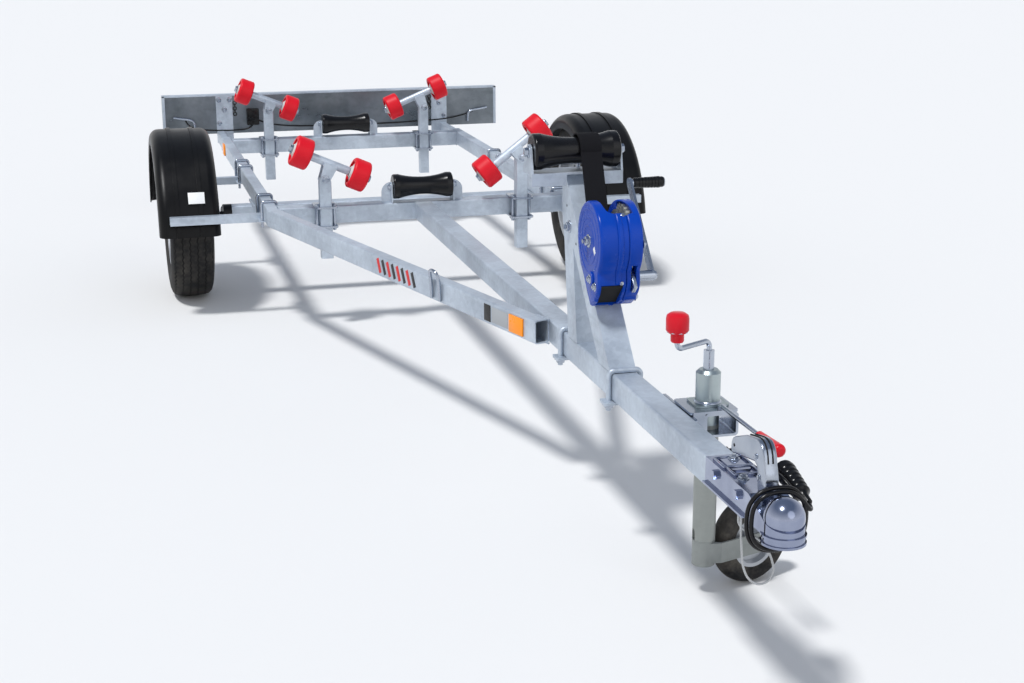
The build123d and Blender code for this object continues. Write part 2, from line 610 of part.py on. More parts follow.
save(winch_post, "winch_post")

CLAMP_PLACES = (POST_FOOT_Y - CLAMP_AHEAD, REAR_FOOT_Y + CLAMP_BEHIND)
CLAMP_X = DRAWBAR_WIDTH / 2 + CLAMP_ROD / 2 + SEAT
with BuildPart() as post_clamps:
    for clamp_y in CLAMP_PLACES:
        clamp_top = FRAME_TOP + CLAMP_ROD / 2 + SEAT
        add(u_bolt(Plane.XZ.offset(-clamp_y), CLAMP_X, clamp_top, FRAME_BOTTOM - CLAMP_DROP, CLAMP_ROD / 2))
        with BuildSketch(Plane.XY.offset(FRAME_BOTTOM - SEAT - CLAMP_PLATE)):
            with Locations((0, clamp_y)):
                RectangleRounded(2 * CLAMP_X + 5 * CLAMP_PLATE, CLAMP_PLATE_DEPTH, CLAMP_PLATE)
        extrude(amount=CLAMP_PLATE)
save(post_clamps, "post_clamps")

BOW_PIN_Y = POST_HEAD_Y - BOW_AHEAD
BOW_Z = POST_TOP + BOW_RISE
EAR_X = ROLLER_LENGTH / 2 + EAR_GAP
BOW_PLATE_Y = BOW_PIN_Y + BOW_PLATE_BACK
BOW_FRONT_Y = BOW_PLATE_Y - BOW_PLATE_DEPTH / 2
with BuildPart() as bow_bracket:
    with BuildSketch(Plane.XY.offset(POST_TOP)):
        with Locations((BOW_X, BOW_PLATE_Y)):
            Rectangle(2 * (EAR_X + EAR_THICK), BOW_PLATE_DEPTH)
    extrude(amount=EAR_THICK)
    for side in SIDES.values():
        ear_inner = BOW_X + side * EAR_X
        with BuildSketch(Plane.YZ.offset(ear_inner)):
            with Locations((BOW_PIN_Y, BOW_Z)):
                Circle(BOW_EAR_R)
            with Locations((BOW_PLATE_Y, POST_TOP + EAR_THICK / 2)):
                Rectangle(BOW_PLATE_DEPTH, EAR_THICK)
            make_hull()
        extrude(amount=side * EAR_THICK)
        # folded front edge either side of the post
        fold_out = BOW_X + side * (EAR_X + EAR_THICK)
        fold_in = side * (POST_WIDTH / 2 + EAR_THICK)
        with BuildSketch(Plane.XZ.offset(-BOW_FRONT_Y - EAR_THICK)):
            with Locations(((fold_out + fold_in) / 2, POST_TOP - BOW_FLANGE / 2)):
                Rectangle(abs(fold_out - fold_in), BOW_FLANGE)
        extrude(amount=EAR_THICK)
    with BuildSketch(Plane.YZ.offset(BOW_X - EAR_X - EAR_THICK - PIN_END)):
        with Locations((BOW_PIN_Y, BOW_Z)):
            Circle(PIN_R)
    extrude(amount=2 * (EAR_X + EAR_THICK + PIN_END))
save(bow_bracket, "bow_bracket")

# ---------------------------------------------------------------- waisted rollers on their pins
# name: middle X, axis Y, axis Z
ROLLER_PLACES = {
    "bow_roller": (BOW_X, BOW_PIN_Y, BOW_Z),
    "keel_roller_front": (0.0, CROSS_FRONT_Y + KEEL_AHEAD, KEEL_Z),
    "keel_roller_rear": (0.0, CROSS_REAR_Y + KEEL_AHEAD, KEEL_Z),
}
END_X = ROLLER_LENGTH / 2
for roller_name, (mid_x, axis_y, axis_z) in ROLLER_PLACES.items():
    with BuildPart() as roller:
        with BuildSketch(Plane(origin=(mid_x, axis_y, axis_z), x_dir=(1, 0, 0), z_dir=(0, -1, 0))):
            with BuildLine():
                rise = Line((-END_X, PIN_R + RUN), (-END_X, ROLLER_END_R - ROLLER_ROUND))
                RadiusArc(rise @ 1, (-END_X + ROLLER_ROUND, ROLLER_END_R), ROLLER_ROUND)
                Line((-END_X + ROLLER_ROUND, ROLLER_END_R), (-END_X + ROLLER_FLAT, ROLLER_END_R))
                ThreePointArc(
                    (-END_X + ROLLER_FLAT, ROLLER_END_R), (0, ROLLER_WAIST_R), (END_X - ROLLER_FLAT, ROLLER_END_R)
                )
                Line((END_X - ROLLER_FLAT, ROLLER_END_R), (END_X - ROLLER_ROUND, ROLLER_END_R))
                RadiusArc((END_X - ROLLER_ROUND, ROLLER_END_R), (END_X, ROLLER_END_R - ROLLER_ROUND), ROLLER_ROUND)
                Polyline((END_X, ROLLER_END_R - ROLLER_ROUND), (END_X, PIN_R + RUN), rise @ 0)
            make_face()
        revolve(axis=Axis((0, axis_y, axis_z), (1, 0, 0)))
    save(roller, roller_name)

with BuildPart() as keel_brackets:
    for face_y in CROSS_PLACES.values():
        pin_y = face_y + KEEL_AHEAD
        for side in SIDES.values():
            with BuildSketch(Plane.YZ.offset(side * EAR_X)):
                with Locations((pin_y, KEEL_Z)):
                    Circle(KEEL_EAR_R)
                with Locations((face_y + CROSS_DEPTH / 2, FRAME_TOP + EAR_THICK / 2)):
                    Rectangle(CROSS_DEPTH, EAR_THICK)
                make_hull()
            extrude(amount=side * EAR_THICK)
            # fin square to the ear, its outer edge curving down to the cross member
            fin_in = side * (EAR_X + EAR_THICK)
            fin_out = side * (EAR_X + KEEL_FIN)
            with BuildSketch(Plane.XZ.offset(-pin_y)):
                with BuildLine():
                    Polyline((fin_in, KEEL_Z + KEEL_EAR_R), (fin_in, FRAME_TOP), (fin_out, FRAME_TOP),
                             (fin_out, KEEL_Z - KEEL_EAR_R))
                    ThreePointArc(
                        (fin_out, KEEL_Z - KEEL_EAR_R),
                        (side * (EAR_X + 0.8 * KEEL_FIN), KEEL_Z + 0.2 * KEEL_EAR_R),
                        (fin_in, KEEL_Z + KEEL_EAR_R),
                    )
                make_face()
            extrude(amount=EAR_THICK / 2, both=True)
        with BuildSketch(Plane.YZ.offset(-EAR_X - EAR_THICK - PIN_END)):
            with Locations((pin_y, KEEL_Z)):
                Circle(PIN_R)
        extrude(amount=2 * (EAR_X + EAR_THICK + PIN_END))
save(keel_brackets, "keel_brackets")

# ---------------------------------------------------------------- winch
WINCH_FACE = Plane(
    origin=(0, POST_FOOT_Y, FRAME_TOP),
    x_dir=(0, cos(POST_LEAN), sin(POST_LEAN)),
    z_dir=(1, 0, 0),
)
# inner X, outer X, how far the slice stands in from the widest cover
WINCH_SLICES = (
    (-46.0, -38.0, 0.0),
    (-38.0, -16.0, 4.0),
    (-16.0, -4.0, 0.0),
    (-4.0, 11.0, 7.0),
    (11.0, 52.0, 1.0),
)
CASE_LEFT = WINCH_SLICES[0][0]
CASE_RIGHT = WINCH_SLICES[-1][1]
SADDLE_LEFT, SADDLE_RIGHT = WINCH_SLICES[1][:2]
DRUM_TOP = DRUM_UP + DRUM_COVER_R
WINDOW = (18.0, 33.0)     # X from and to of the window over the gear ring
PAWL_SLOT = (33.0, 44.0)
with BuildPart() as winch_case:
    for low_x, high_x, inset in WINCH_SLICES:
        with BuildSketch(WINCH_FACE.offset(low_x)):
            with Locations((DRUM_UP, DRUM_OFF)):
                Circle(DRUM_COVER_R - inset)
            with Locations((GEAR_UP, GEAR_OFF)):
                Circle(GEAR_COVER_R - inset)
            Polygon(
                (CASE_LOW + inset, CASE_BACK), (DRUM_UP, CASE_BACK + inset), (DRUM_UP, DRUM_OFF),
                (GEAR_UP, GEAR_OFF), (CASE_LOW - 6 + inset, GEAR_OFF - 12), align=None,
            )
        extrude(amount=high_x - low_x)
    # foot against the post
    with BuildSketch(WINCH_FACE.offset(-POST_WIDTH / 2)):
        Polygon((CASE_LOW + 8, SEAT), (DRUM_UP + 30, SEAT), (DRUM_UP + 30, 3 * CASE_BACK), (CASE_LOW + 8, 3 * CASE_BACK),
                align=None)
    extrude(amount=POST_WIDTH)
    # notch for the strap, window over the gear ring, slot for the pawl, mouth below the drum
    with BuildSketch(WINCH_FACE.offset(SADDLE_LEFT)):
        with Locations((DRUM_TOP, DRUM_OFF)):
            Circle(SADDLE_R)
    extrude(amount=SADDLE_RIGHT - SADDLE_LEFT, mode=Mode.SUBTRACT)
    with BuildSketch(WINCH_FACE.offset(SADDLE_LEFT)):
        notch_floor = STRAP_IN_UP - STRAP_THICK / 2
        Polygon((notch_floor, STRAP_IN_OFF - 12), (DRUM_TOP + 5, STRAP_IN_OFF - 12), (DRUM_TOP + 5, DRUM_OFF),
                (notch_floor, DRUM_OFF), align=None)
    extrude(amount=WINCH_SLICES[3][1] + 16 - SADDLE_LEFT, mode=Mode.SUBTRACT)
    with BuildSketch(WINCH_FACE.offset(WINDOW[0])):
        Polygon((DRUM_TOP - 32, DRUM_OFF - 10), (DRUM_TOP + 5, DRUM_OFF - 10), (DRUM_TOP + 5, DRUM_OFF + 46),
                (DRUM_TOP - 32, DRUM_OFF + 46), align=None)
    extrude(amount=WINDOW[1] - WINDOW[0], mode=Mode.SUBTRACT)
    with BuildSketch(WINCH_FACE.offset(PAWL_SLOT[0])):
        Polygon((CASE_LOW - 10, GEAR_OFF + 10), (GEAR_UP + 14, GEAR_OFF + 10), (GEAR_UP + 14, GEAR_OFF + 60),
                (CASE_LOW - 10, GEAR_OFF + 60), align=None)
    extrude(amount=PAWL_SLOT[1] - PAWL_SLOT[0], mode=Mode.SUBTRACT)
    with BuildSketch(WINCH_FACE.offset(SADDLE_LEFT)):
        Polygon((CASE_LOW - 10, CASE_BACK + 8), (CASE_LOW + 14, CASE_BACK + 8), (CASE_LOW + 14, GEAR_OFF + 50),
                (CASE_LOW - 10, GEAR_OFF + 50), align=None)
    extrude(amount=WINCH_SLICES[3][0] - SADDLE_LEFT, mode=Mode.SUBTRACT)
    with BuildSketch(WINCH_FACE.offset(CASE_RIGHT - 20)):
        with Locations((GEAR_UP, GEAR_OFF)):
            Circle(CRANK_BOSS_R + RUN)
    extrude(amount=20, mode=Mode.SUBTRACT)
save(winch_case, "winch_case")

with BuildPart() as winch_gear:
    with BuildSketch(WINCH_FACE.offset(WINDOW[0] + 3)):
        with Locations((DRUM_UP, DRUM_OFF)):
            Circle(DRUM_COVER_R - 5)
        Polygon((0, 0), (DRUM_TOP - 32 + SEAT, 0), (DRUM_TOP - 32 + SEAT, 3 * DRUM_OFF), (0, 3 * DRUM_OFF),
                align=None, mode=Mode.SUBTRACT)
        Polygon((0, 0), (2 * DRUM_TOP, 0), (2 * DRUM_TOP, DRUM_OFF - 10 + SEAT), (0, DRUM_OFF - 10 + SEAT),
                align=None, mode=Mode.SUBTRACT)
        Polygon((0, 3 * DRUM_OFF), (2 * DRUM_TOP, 3 * DRUM_OFF), (2 * DRUM_TOP, DRUM_OFF + 46 - SEAT),
                (0, DRUM_OFF + 46 - SEAT), align=None, mode=Mode.SUBTRACT)
    extrude(amount=WINDOW[1] - WINDOW[0] - 6)
save(winch_gear, "winch_gear")

with BuildPart() as winch_crank:
    with BuildSketch(WINCH_FACE.offset(CASE_RIGHT - 20 + SEAT)):
        with Locations((GEAR_UP, GEAR_OFF)):
            Circle(CRANK_BOSS_R)
    extrude(amount=CRANK_X - CASE_RIGHT + 20)
    with BuildSketch(WINCH_FACE.offset(CRANK_X)):
        with Locations((GEAR_UP, GEAR_OFF), (GEAR_UP + CRANK_LENGTH, GEAR_OFF)):
            Circle(CRANK_BOSS_R)
        make_hull()
    extrude(amount=CRANK_THICK)
    grip_plane = WINCH_FACE.offset(CRANK_X + CRANK_THICK)
    for along_x, radius in ((0.0, GRIP_R - 1.5), (12.0, GRIP_R), (GRIP_LENGTH - 20.0, GRIP_R + 1.5)):
        with BuildSketch(grip_plane.offset(along_x)):
            with Locations((GEAR_UP + CRANK_LENGTH, GEAR_OFF)):
                Circle(radius)
        extrude(amount=GRIP_LENGTH - along_x)
    fillet(winch_crank.faces().sort_by(Axis.X)[-1].edges(), 4)
save(winch_crank, "winch_crank")

# ---------------------------------------------------------------- strap from the drum over the bow roller
STRAP_IN = WINCH_FACE.from_local_coords((STRAP_IN_UP, STRAP_IN_OFF, 0))
STRAP_FRONT_Y = BOW_PIN_Y - STRAP_OVER - STRAP_THICK / 2
STRAP_LEFT = STRAP_TOP_X - STRAP_WIDTH / 2
STRAP_END_Z = BOW_Z - 30.0
with BuildPart() as winch_strap:
    with BuildSketch(Plane.XY.offset(STRAP_IN.Z)):
        with Locations((0, STRAP_IN.Y)):
            Rectangle(STRAP_WIDTH, STRAP_THICK)
    with BuildSketch(Plane.XY.offset(BOW_Z)):
        with Locations((STRAP_TOP_X, STRAP_FRONT_Y)):
            Rectangle(STRAP_WIDTH, STRAP_THICK)
    loft(ruled=True)
    with BuildSketch(Plane.YZ.offset(STRAP_LEFT)):
        with Locations((BOW_PIN_Y, BOW_Z)):
            Circle(STRAP_OVER + STRAP_THICK)
            Circle(STRAP_OVER, mode=Mode.SUBTRACT)
        with Locations((BOW_PIN_Y, BOW_Z - 50)):
            Rectangle(100, 100, mode=Mode.SUBTRACT)
        with Locations((BOW_PIN_Y + STRAP_OVER + STRAP_THICK / 2, (BOW_Z + STRAP_END_Z) / 2)):
            Rectangle(STRAP_THICK, BOW_Z - STRAP_END_Z)
    extrude(amount=STRAP_WIDTH)
save(winch_strap, "winch_strap")

HOOK_R = 4.0
HOOK_Y = BOW_PIN_Y + STRAP_OVER + STRAP_THICK / 2
HOOK_Z = STRAP_END_Z - HOOK_R
HOOK_LOW = POST_TOP - HOOK_R - SEAT
with BuildPart() as strap_hook:
    with BuildSketch(Plane.YZ.offset(STRAP_LEFT)):
        with Locations((HOOK_Y, HOOK_Z)):
            Circle(HOOK_R)
    extrude(amount=STRAP_WIDTH)
    with BuildLine(Plane.YZ.offset(STRAP_TOP_X)) as hook_line:
        FilletPolyline(
            (HOOK_Y, HOOK_Z), (HOOK_Y + 24, HOOK_Z), (HOOK_Y + 24, HOOK_LOW), (HOOK_Y, HOOK_LOW), radius=9
        )
    with BuildSketch(Plane(origin=hook_line.line @ 0, z_dir=hook_line.line % 0)):
        Circle(HOOK_R)
    sweep(path=hook_line.line)
save(strap_hook, "strap_hook")

# ---------------------------------------------------------------- jockey wheel
JOCKEY_Y = back(-JOCKEY_BACK)
JOCKEY_AXIS = Plane.XY.move(Location((JOCKEY_X, JOCKEY_Y, 0)))
BRACKET_X = JOCKEY_X + BRACKET_SHIFT
BRACKET_OUT = BRACKET_X + BRACKET_WIDTH / 2
BRACKET_FRONT_Y = JOCKEY_Y - BRACKET_AHEAD
BRACKET_TOP = FRAME_TOP + BRACKET_WALL
SIDE_PLATE = (190.0, 56.0, 6.0)   # length, height and thickness on the drawbar's side
with BuildPart() as jockey_bracket:
    # open box round the tube, with a wide top plate
    with BuildSketch(Plane.XZ.offset(-BRACKET_FRONT_Y - BRACKET_LENGTH)):
        with Locations((BRACKET_X, (BRACKET_LOW + FRAME_TOP) / 2)):
            RectangleRounded(BRACKET_WIDTH, FRAME_TOP - BRACKET_LOW, 8)
            RectangleRounded(
                BRACKET_WIDTH - 2 * BRACKET_WALL, FRAME_TOP - BRACKET_LOW - 2 * BRACKET_WALL, 4, mode=Mode.SUBTRACT
            )
    extrude(amount=BRACKET_LENGTH)
    with BuildSketch(Plane.XY.offset(FRAME_TOP)):
        with Locations(((DRAWBAR_WIDTH / 2 + BRACKET_OUT) / 2, BRACKET_FRONT_Y + BRACKET_LENGTH / 2)):
            RectangleRounded(BRACKET_OUT - DRAWBAR_WIDTH / 2, BRACKET_LENGTH, 8)
    extrude(amount=BRACKET_WALL)
    # plate bolted to the drawbar's side and the web out to the box
    plate_length, plate_height, plate_thick = SIDE_PLATE
    with BuildSketch(Plane.YZ.offset(DRAWBAR_WIDTH / 2)):
        with Locations((JOCKEY_Y + 15, FRAME_MID_Z)):
            RectangleRounded(plate_length, plate_height, 6)
    extrude(amount=plate_thick)
    with BuildSketch(Plane.YZ.offset(DRAWBAR_WIDTH / 2 + plate_thick)):
        with Locations((BRACKET_FRONT_Y + BRACKET_LENGTH / 2, (BRACKET_LOW + FRAME_TOP) / 2)):
            Rectangle(BRACKET_LENGTH, FRAME_TOP - BRACKET_LOW)
    extrude(amount=BRACKET_X - BRACKET_WIDTH / 2 + 1 - DRAWBAR_WIDTH / 2 - plate_thick)
    with BuildSketch(JOCKEY_AXIS.offset(BRACKET_LOW - 1)):
        Circle(SLEEVE_R + SEAT)
    extrude(amount=BRACKET_TOP - BRACKET_LOW + 2, mode=Mode.SUBTRACT)
save(jockey_bracket, "jockey_bracket")

ROD_X = BRACKET_OUT - 33.0
ROD_START_Y = BRACKET_FRONT_Y + 9.0
EYE_R = 9.0
EYE_HEIGHT = 8.0
ROD_Z = BRACKET_TOP + SEAT + ROD_R + 1
with BuildPart() as release_rod:
    with BuildSketch(Plane.XY.offset(BRACKET_TOP + SEAT)):
        with Locations((ROD_X, ROD_START_Y)):
            Circle(EYE_R)
    extrude(amount=EYE_HEIGHT)
    with BuildSketch(Plane.XZ.offset(-ROD_START_Y)):
        with Locations((ROD_X, ROD_Z)):
            Circle(ROD_R)
    extrude(amount=ROD_LENGTH)
save(release_rod, "release_rod")

GRIP_END_Y = ROD_START_Y - ROD_LENGTH
with BuildPart() as release_grip:
    with BuildSketch(Plane.XZ.offset(-GRIP_END_Y)):
        with Locations((ROD_X, ROD_Z)):
            Circle(2 * ROD_R)
    with BuildSketch(Plane.XZ.offset(-GRIP_END_Y + GRIP_LONG)):
        with Locations((ROD_X, ROD_Z)):
            Circle(3 * ROD_R)
    loft()
    fillet(release_grip.faces().sort_by(Axis.Y)[0].edges(), 2 * ROD_R)
save(release_grip, "release_grip")

SLEEVE_FLANGE = 4.0
NOTCH = (14.0, 24.0)      # width and height of the arched notch in the sleeve's foot
with BuildPart() as jockey_sleeve:
    with BuildSketch(JOCKEY_AXIS.offset(SLEEVE_BOTTOM)):
        Circle(SLEEVE_R)
    extrude(amount=CAP_TOP - 8 - SLEEVE_BOTTOM)
    with BuildSketch(JOCKEY_AXIS.offset(BRACKET_TOP + SEAT)):
        RectangleRounded(3 * SLEEVE_R, 66, 10)
    extrude(amount=SLEEVE_FLANGE)
    with BuildSketch(JOCKEY_AXIS.offset(BRACKET_TOP + SLEEVE_FLANGE)):
        Circle(SLEEVE_CAP_R)
    extrude(amount=CAP_TOP - BRACKET_TOP - SLEEVE_FLANGE)
    chamfer(jockey_sleeve.edges().filter_by(GeomType.CIRCLE).group_by(Axis.Z)[-1], 6)
    with BuildSketch(JOCKEY_AXIS.offset(SLEEVE_BOTTOM)):
        Circle(STEM_R + 3 * RUN)
    extrude(amount=CAP_TOP - 12 - SLEEVE_BOTTOM, mode=Mode.SUBTRACT)
    notch_width, notch_height = NOTCH
    with BuildSketch(Plane.YZ.offset(JOCKEY_X)):
        with Locations((JOCKEY_Y, SLEEVE_BOTTOM)):
            SlotOverall(2 * notch_height, notch_width, rotation=90)
    extrude(amount=-2 * SLEEVE_R, mode=Mode.SUBTRACT)
save(jockey_sleeve, "jockey_sleeve")

CRANK_ROD_R = 5.5
CRANK_BEND_R = 14.0
KNOB_OFFSET = Vector(-87.0, -48.0, 0)
ROD_TOP = CAP_TOP + 60.0
KNOB_R = 22.0
KNOB_HEIGHT = 38.0
with BuildPart() as jockey_crank:
    with BuildSketch(JOCKEY_AXIS.offset(CAP_TOP)):
        Circle(2 * CRANK_ROD_R)
    extrude(amount=ROD_TOP - CAP_TOP - 20)
    rod_foot = Vector(JOCKEY_X, JOCKEY_Y, ROD_TOP - 30)
    rod_bend = Vector(JOCKEY_X, JOCKEY_Y, ROD_TOP)
    knob_foot = rod_bend + KNOB_OFFSET
    knob_low = knob_foot + Vector(0, 0, KNOB_HEIGHT - 2)
    with BuildLine() as crank_line:
        FilletPolyline(rod_foot, rod_bend, knob_foot, knob_low, radius=CRANK_BEND_R)
    with BuildSketch(Plane(origin=crank_line.line @ 0, z_dir=crank_line.line % 0)):
        Circle(CRANK_ROD_R)
    sweep(path=crank_line.line)
    with BuildSketch(Plane(origin=knob_foot + Vector(0, 0, 16))):
        Circle(2 * CRANK_ROD_R)
    extrude(amount=KNOB_R)
    with BuildSketch(Plane(origin=knob_low)):
        RegularPolygon(KNOB_R, 8)
    extrude(amount=KNOB_HEIGHT)
    chamfer(jockey_crank.faces().sort_by(Axis.Z)[-1].edges(), 7)
save(jockey_crank, "jockey_crank")

FORK_HIGH = SLEEVE_BOTTOM - SEAT
with BuildPart() as jockey_stem:
    with BuildSketch(JOCKEY_AXIS.offset(FORK_LOW + 6)):
        Circle(STEM_R)
        Circle(STEM_R - WALL, mode=Mode.SUBTRACT)
    extrude(amount=STEM_TOP - FORK_LOW - 6)
save(jockey_stem, "jockey_stem")

FORK_DIR = Vector(cos(radians(JOCKEY_TURN)), sin(radians(JOCKEY_TURN)), 0)
AXLE_DIR = FORK_DIR.cross(Vector(0, 0, 1))
WHEEL_CENTRE = Vector(JOCKEY_X, JOCKEY_Y, JOCKEY_WHEEL_R) + FORK_DIR * JOCKEY_TRAIL
FORK_PLANE = Plane(origin=(JOCKEY_X, JOCKEY_Y, 0), x_dir=FORK_DIR, z_dir=(0, 0, 1))
FORK_HALF = JOCKEY_WHEEL_W / 2 + CLEAR
FORK_OUT = FORK_HALF + STRAP_PLATE
JOCKEY_AXLE_R = 6.0
with BuildPart() as jockey_fork:
    with BuildSketch(FORK_PLANE.offset(FORK_LOW)):
        Circle(SLEEVE_R)
    extrude(amount=FORK_HIGH - FORK_LOW)
    for strap_side in (-1, 1):
        with BuildSketch(FORK_PLANE.offset(FORK_LOW + 8)):
            Polygon(
                (-6, strap_side * (SLEEVE_R - 2)), (20, strap_side * FORK_OUT),
                (JOCKEY_TRAIL + 16, strap_side * FORK_OUT), (JOCKEY_TRAIL + 16, strap_side * FORK_HALF),
                (23, strap_side * FORK_HALF), (6, strap_side * 14), align=None,
            )
        extrude(amount=FORK_HIGH - FORK_LOW - 12)
    with BuildSketch(FORK_PLANE.offset(FORK_LOW)):
        Circle(STEM_R + RUN)
    extrude(amount=FORK_HIGH - FORK_LOW, mode=Mode.SUBTRACT)
    with BuildSketch(Plane(origin=WHEEL_CENTRE, x_dir=FORK_DIR, z_dir=AXLE_DIR)):
        Circle(JOCKEY_AXLE_R)
    extrude(amount=FORK_OUT + JOCKEY_AXLE_R, both=True)
save(jockey_fork, "jockey_fork")

JOCKEY_AXLE = Axis(WHEEL_CENTRE, AXLE_DIR)
SPIN_PLANE = Plane(origin=WHEEL_CENTRE, x_dir=AXLE_DIR, z_dir=FORK_DIR)
tread_half = JOCKEY_WHEEL_W / 2
bead_half = tread_half - 4
with BuildPart() as jockey_tyre:
    with BuildSketch(SPIN_PLANE):
        with BuildLine():
            wall_low = JOCKEY_RIM_R + 12
            wall_high = JOCKEY_WHEEL_R - 12
            Polyline((-tread_half, wall_low), (-bead_half, JOCKEY_RIM_R), (bead_half, JOCKEY_RIM_R),
                     (tread_half, wall_low), (tread_half, wall_high))
            ThreePointArc((tread_half, wall_high), (0, JOCKEY_WHEEL_R), (-tread_half, wall_high))
            Line((-tread_half, wall_high), (-tread_half, wall_low))
        make_face()
    revolve(axis=JOCKEY_AXLE)
save(jockey_tyre, "jockey_tyre")
with BuildPart() as jockey_rim:
    with BuildSketch(SPIN_PLANE):
        with BuildLine():
            Polyline(
                (-bead_half, JOCKEY_RIM_R), (-bead_half, 50), (-8, 46), (-8, 24), (-tread_half, 20),
                (-tread_half, JOCKEY_AXLE_R + RUN), (tread_half, JOCKEY_AXLE_R + RUN), (tread_half, 20), (8, 24),
                (8, 46), (bead_half, 50), (bead_half, JOCKEY_RIM_R), close=True,
            )
        make_face()
    revolve(axis=JOCKEY_AXLE)
save(jockey_rim, "jockey_rim")

# ---------------------------------------------------------------- roller cradles
# row, side, pivot height, tilt in degrees, roller spacing, shaft above the pivot, shaft's slip along itself
CRADLES = (
    ("front", "right", 512.0, -23.6, 206.0, 51.0, 0.0),
    ("front", "left", 556.0, 37.0, 224.0, 36.0, -11.0),
    ("rear", "right", 541.0, -22.0, 203.0, 37.0, -18.0),
    ("rear", "left", 530.0, 21.9, 213.0, 55.0, -14.0),
)
FORK_INNER = CRADLE_POST / 2 + FORK_GAP
FORK_OUTER = FORK_INNER + FORK_PLATE


def cradle_post(post_x, post_y, pivot_z):
    """Square tube with a rounded head and the pivot bolt of its rocker."""
    shoulder_z = pivot_z - POST_EAR_R + 1
    with BuildPart() as post:
        with BuildSketch(Plane.XY.offset(CRADLE_BOTTOM)):
            with Locations((post_x, post_y)):
                tube_section(CRADLE_POST, CRADLE_POST, wall=WALL, corner=5.0)
        extrude(amount=pivot_z + POST_EAR_R - CRADLE_BOTTOM)
        with BuildSketch(Plane.XZ.offset(-post_y)):
            with Locations((post_x, pivot_z)):
                Circle(POST_EAR_R)
            with Locations((post_x, (CRADLE_BOTTOM + shoulder_z) / 2)):
                Rectangle(CRADLE_POST, shoulder_z - CRADLE_BOTTOM)
            make_hull()
        extrude(amount=CRADLE_POST, both=True, mode=Mode.INTERSECT)
        with BuildSketch(Plane.XZ.offset(-post_y)):
            with Locations((post_x, pivot_z)):
                Circle(PIVOT_R)
        extrude(amount=FORK_OUTER + PIVOT_R, both=True)
    return post.part


with BuildPart() as cradle_posts:
    for row, side_name, pivot_z, *rest in CRADLES:
        add(cradle_post(SIDES[side_name] * POST_X, CROSS_PLACES[row] - CRADLE_POST / 2, pivot_z))
save(cradle_posts, "cradle_posts")

with BuildPart() as cradle_clamps:
    for row, side_name, *rest in CRADLES:
        face_y = CROSS_PLACES[row]
        post_y = face_y - CRADLE_POST / 2
        post_x = SIDES[side_name] * POST_X
        plate_front = face_y - CRADLE_POST - 12
        plate_back = face_y + CROSS_DEPTH - 8
        for low_z in (FRAME_BOTTOM - CRADLE_PLATE, FRAME_TOP):
            with BuildSketch(Plane.XY.offset(low_z)):
                with Locations((post_x, (plate_front + plate_back) / 2)):
                    RectangleRounded(CRADLE_PLATE_WIDTH, plate_back - plate_front, 10)
                with Locations((post_x, post_y)):
                    Rectangle(CRADLE_POST + 2 * SEAT, CRADLE_POST + 2 * SEAT, mode=Mode.SUBTRACT)
            extrude(amount=CRADLE_PLATE)
        with BuildSketch(Plane.XY.offset(FRAME_BOTTOM - 3 * CRADLE_PLATE)):
            with Locations((post_x - CRADLE_BOLT_X, post_y), (post_x + CRADLE_BOLT_X, post_y)):
                Circle(CRADLE_BOLT_R)
        extrude(amount=FRAME_HEIGHT + 5 * CRADLE_PLATE)
save(cradle_clamps, "cradle_clamps")

for row, side_name, pivot_z, tilt, spacing, above, slip in CRADLES:
    post_y = CROSS_PLACES[row] - CRADLE_POST / 2
    pivot = Vector(SIDES[side_name] * POST_X, post_y, pivot_z)
    along = Vector(cos(radians(tilt)), 0, sin(radians(tilt)))
    normal = Vector(-sin(radians(tilt)), 0, cos(radians(tilt)))
    shaft_plane = Plane(origin=pivot + normal * above + along * slip, x_dir=normal, z_dir=along)
    shaft_half = spacing / 2 + RED_WIDTH / 2 + SHAFT_END
    tube_half = spacing / 2 - RED_WIDTH / 2 - 6
    with BuildPart() as rocker:
        with BuildSketch(shaft_plane):
            Circle(SHAFT_R)
        extrude(amount=shaft_half, both=True)
        with BuildSketch(shaft_plane):
            Circle(SHAFT_TUBE_R)
        extrude(amount=tube_half, both=True)
        # folded saddle: one plate each side of the post, joined above it round the tube
        saddle_plane = Plane(origin=pivot, x_dir=along, z_dir=(0, -1, 0))
        with BuildSketch(saddle_plane):
            with Locations((0, above - SHAFT_TUBE_R / 2)):
                Rectangle(2 * SADDLE_HALF, SHAFT_TUBE_R)
            with Locations((0, -4)):
                Rectangle(1.4 * SADDLE_HALF, 22)
            make_hull()
            Circle(PIVOT_R + RUN, mode=Mode.SUBTRACT)
        extrude(amount=FORK_OUTER, both=True)
        with BuildSketch(saddle_plane):
            with Locations((0, (above - SHAFT_TUBE_R) / 2 - 40)):
                Rectangle(6 * SADDLE_HALF, above - SHAFT_TUBE_R + 80)
        extrude(amount=FORK_INNER, both=True, mode=Mode.SUBTRACT)
    save(rocker, f"rocker_{row}_{side_name}")

    with BuildPart() as rollers:
        for end in (-1, 1):
            roller_mid = end * spacing / 2
            with BuildSketch(shaft_plane.offset(roller_mid)):
                Circle(RED_R)
            extrude(amount=RED_WIDTH / 2, both=True)
        fillet(rollers.edges().filter_by(GeomType.CIRCLE), RED_ROUND)
        for end in (-1, 1):
            for face in (-1, 1):
                face_at = end * spacing / 2 + face * RED_WIDTH / 2
                with BuildSketch(shaft_plane.offset(face_at)):
                    Circle(RED_DISH_R)
                extrude(amount=-face * RED_DISH, mode=Mode.SUBTRACT)
        with BuildSketch(shaft_plane):
            Circle(SHAFT_R + RUN)
        extrude(amount=shaft_half + 10, both=True, mode=Mode.SUBTRACT)
    save(rollers, f"rollers_{row}_{side_name}")

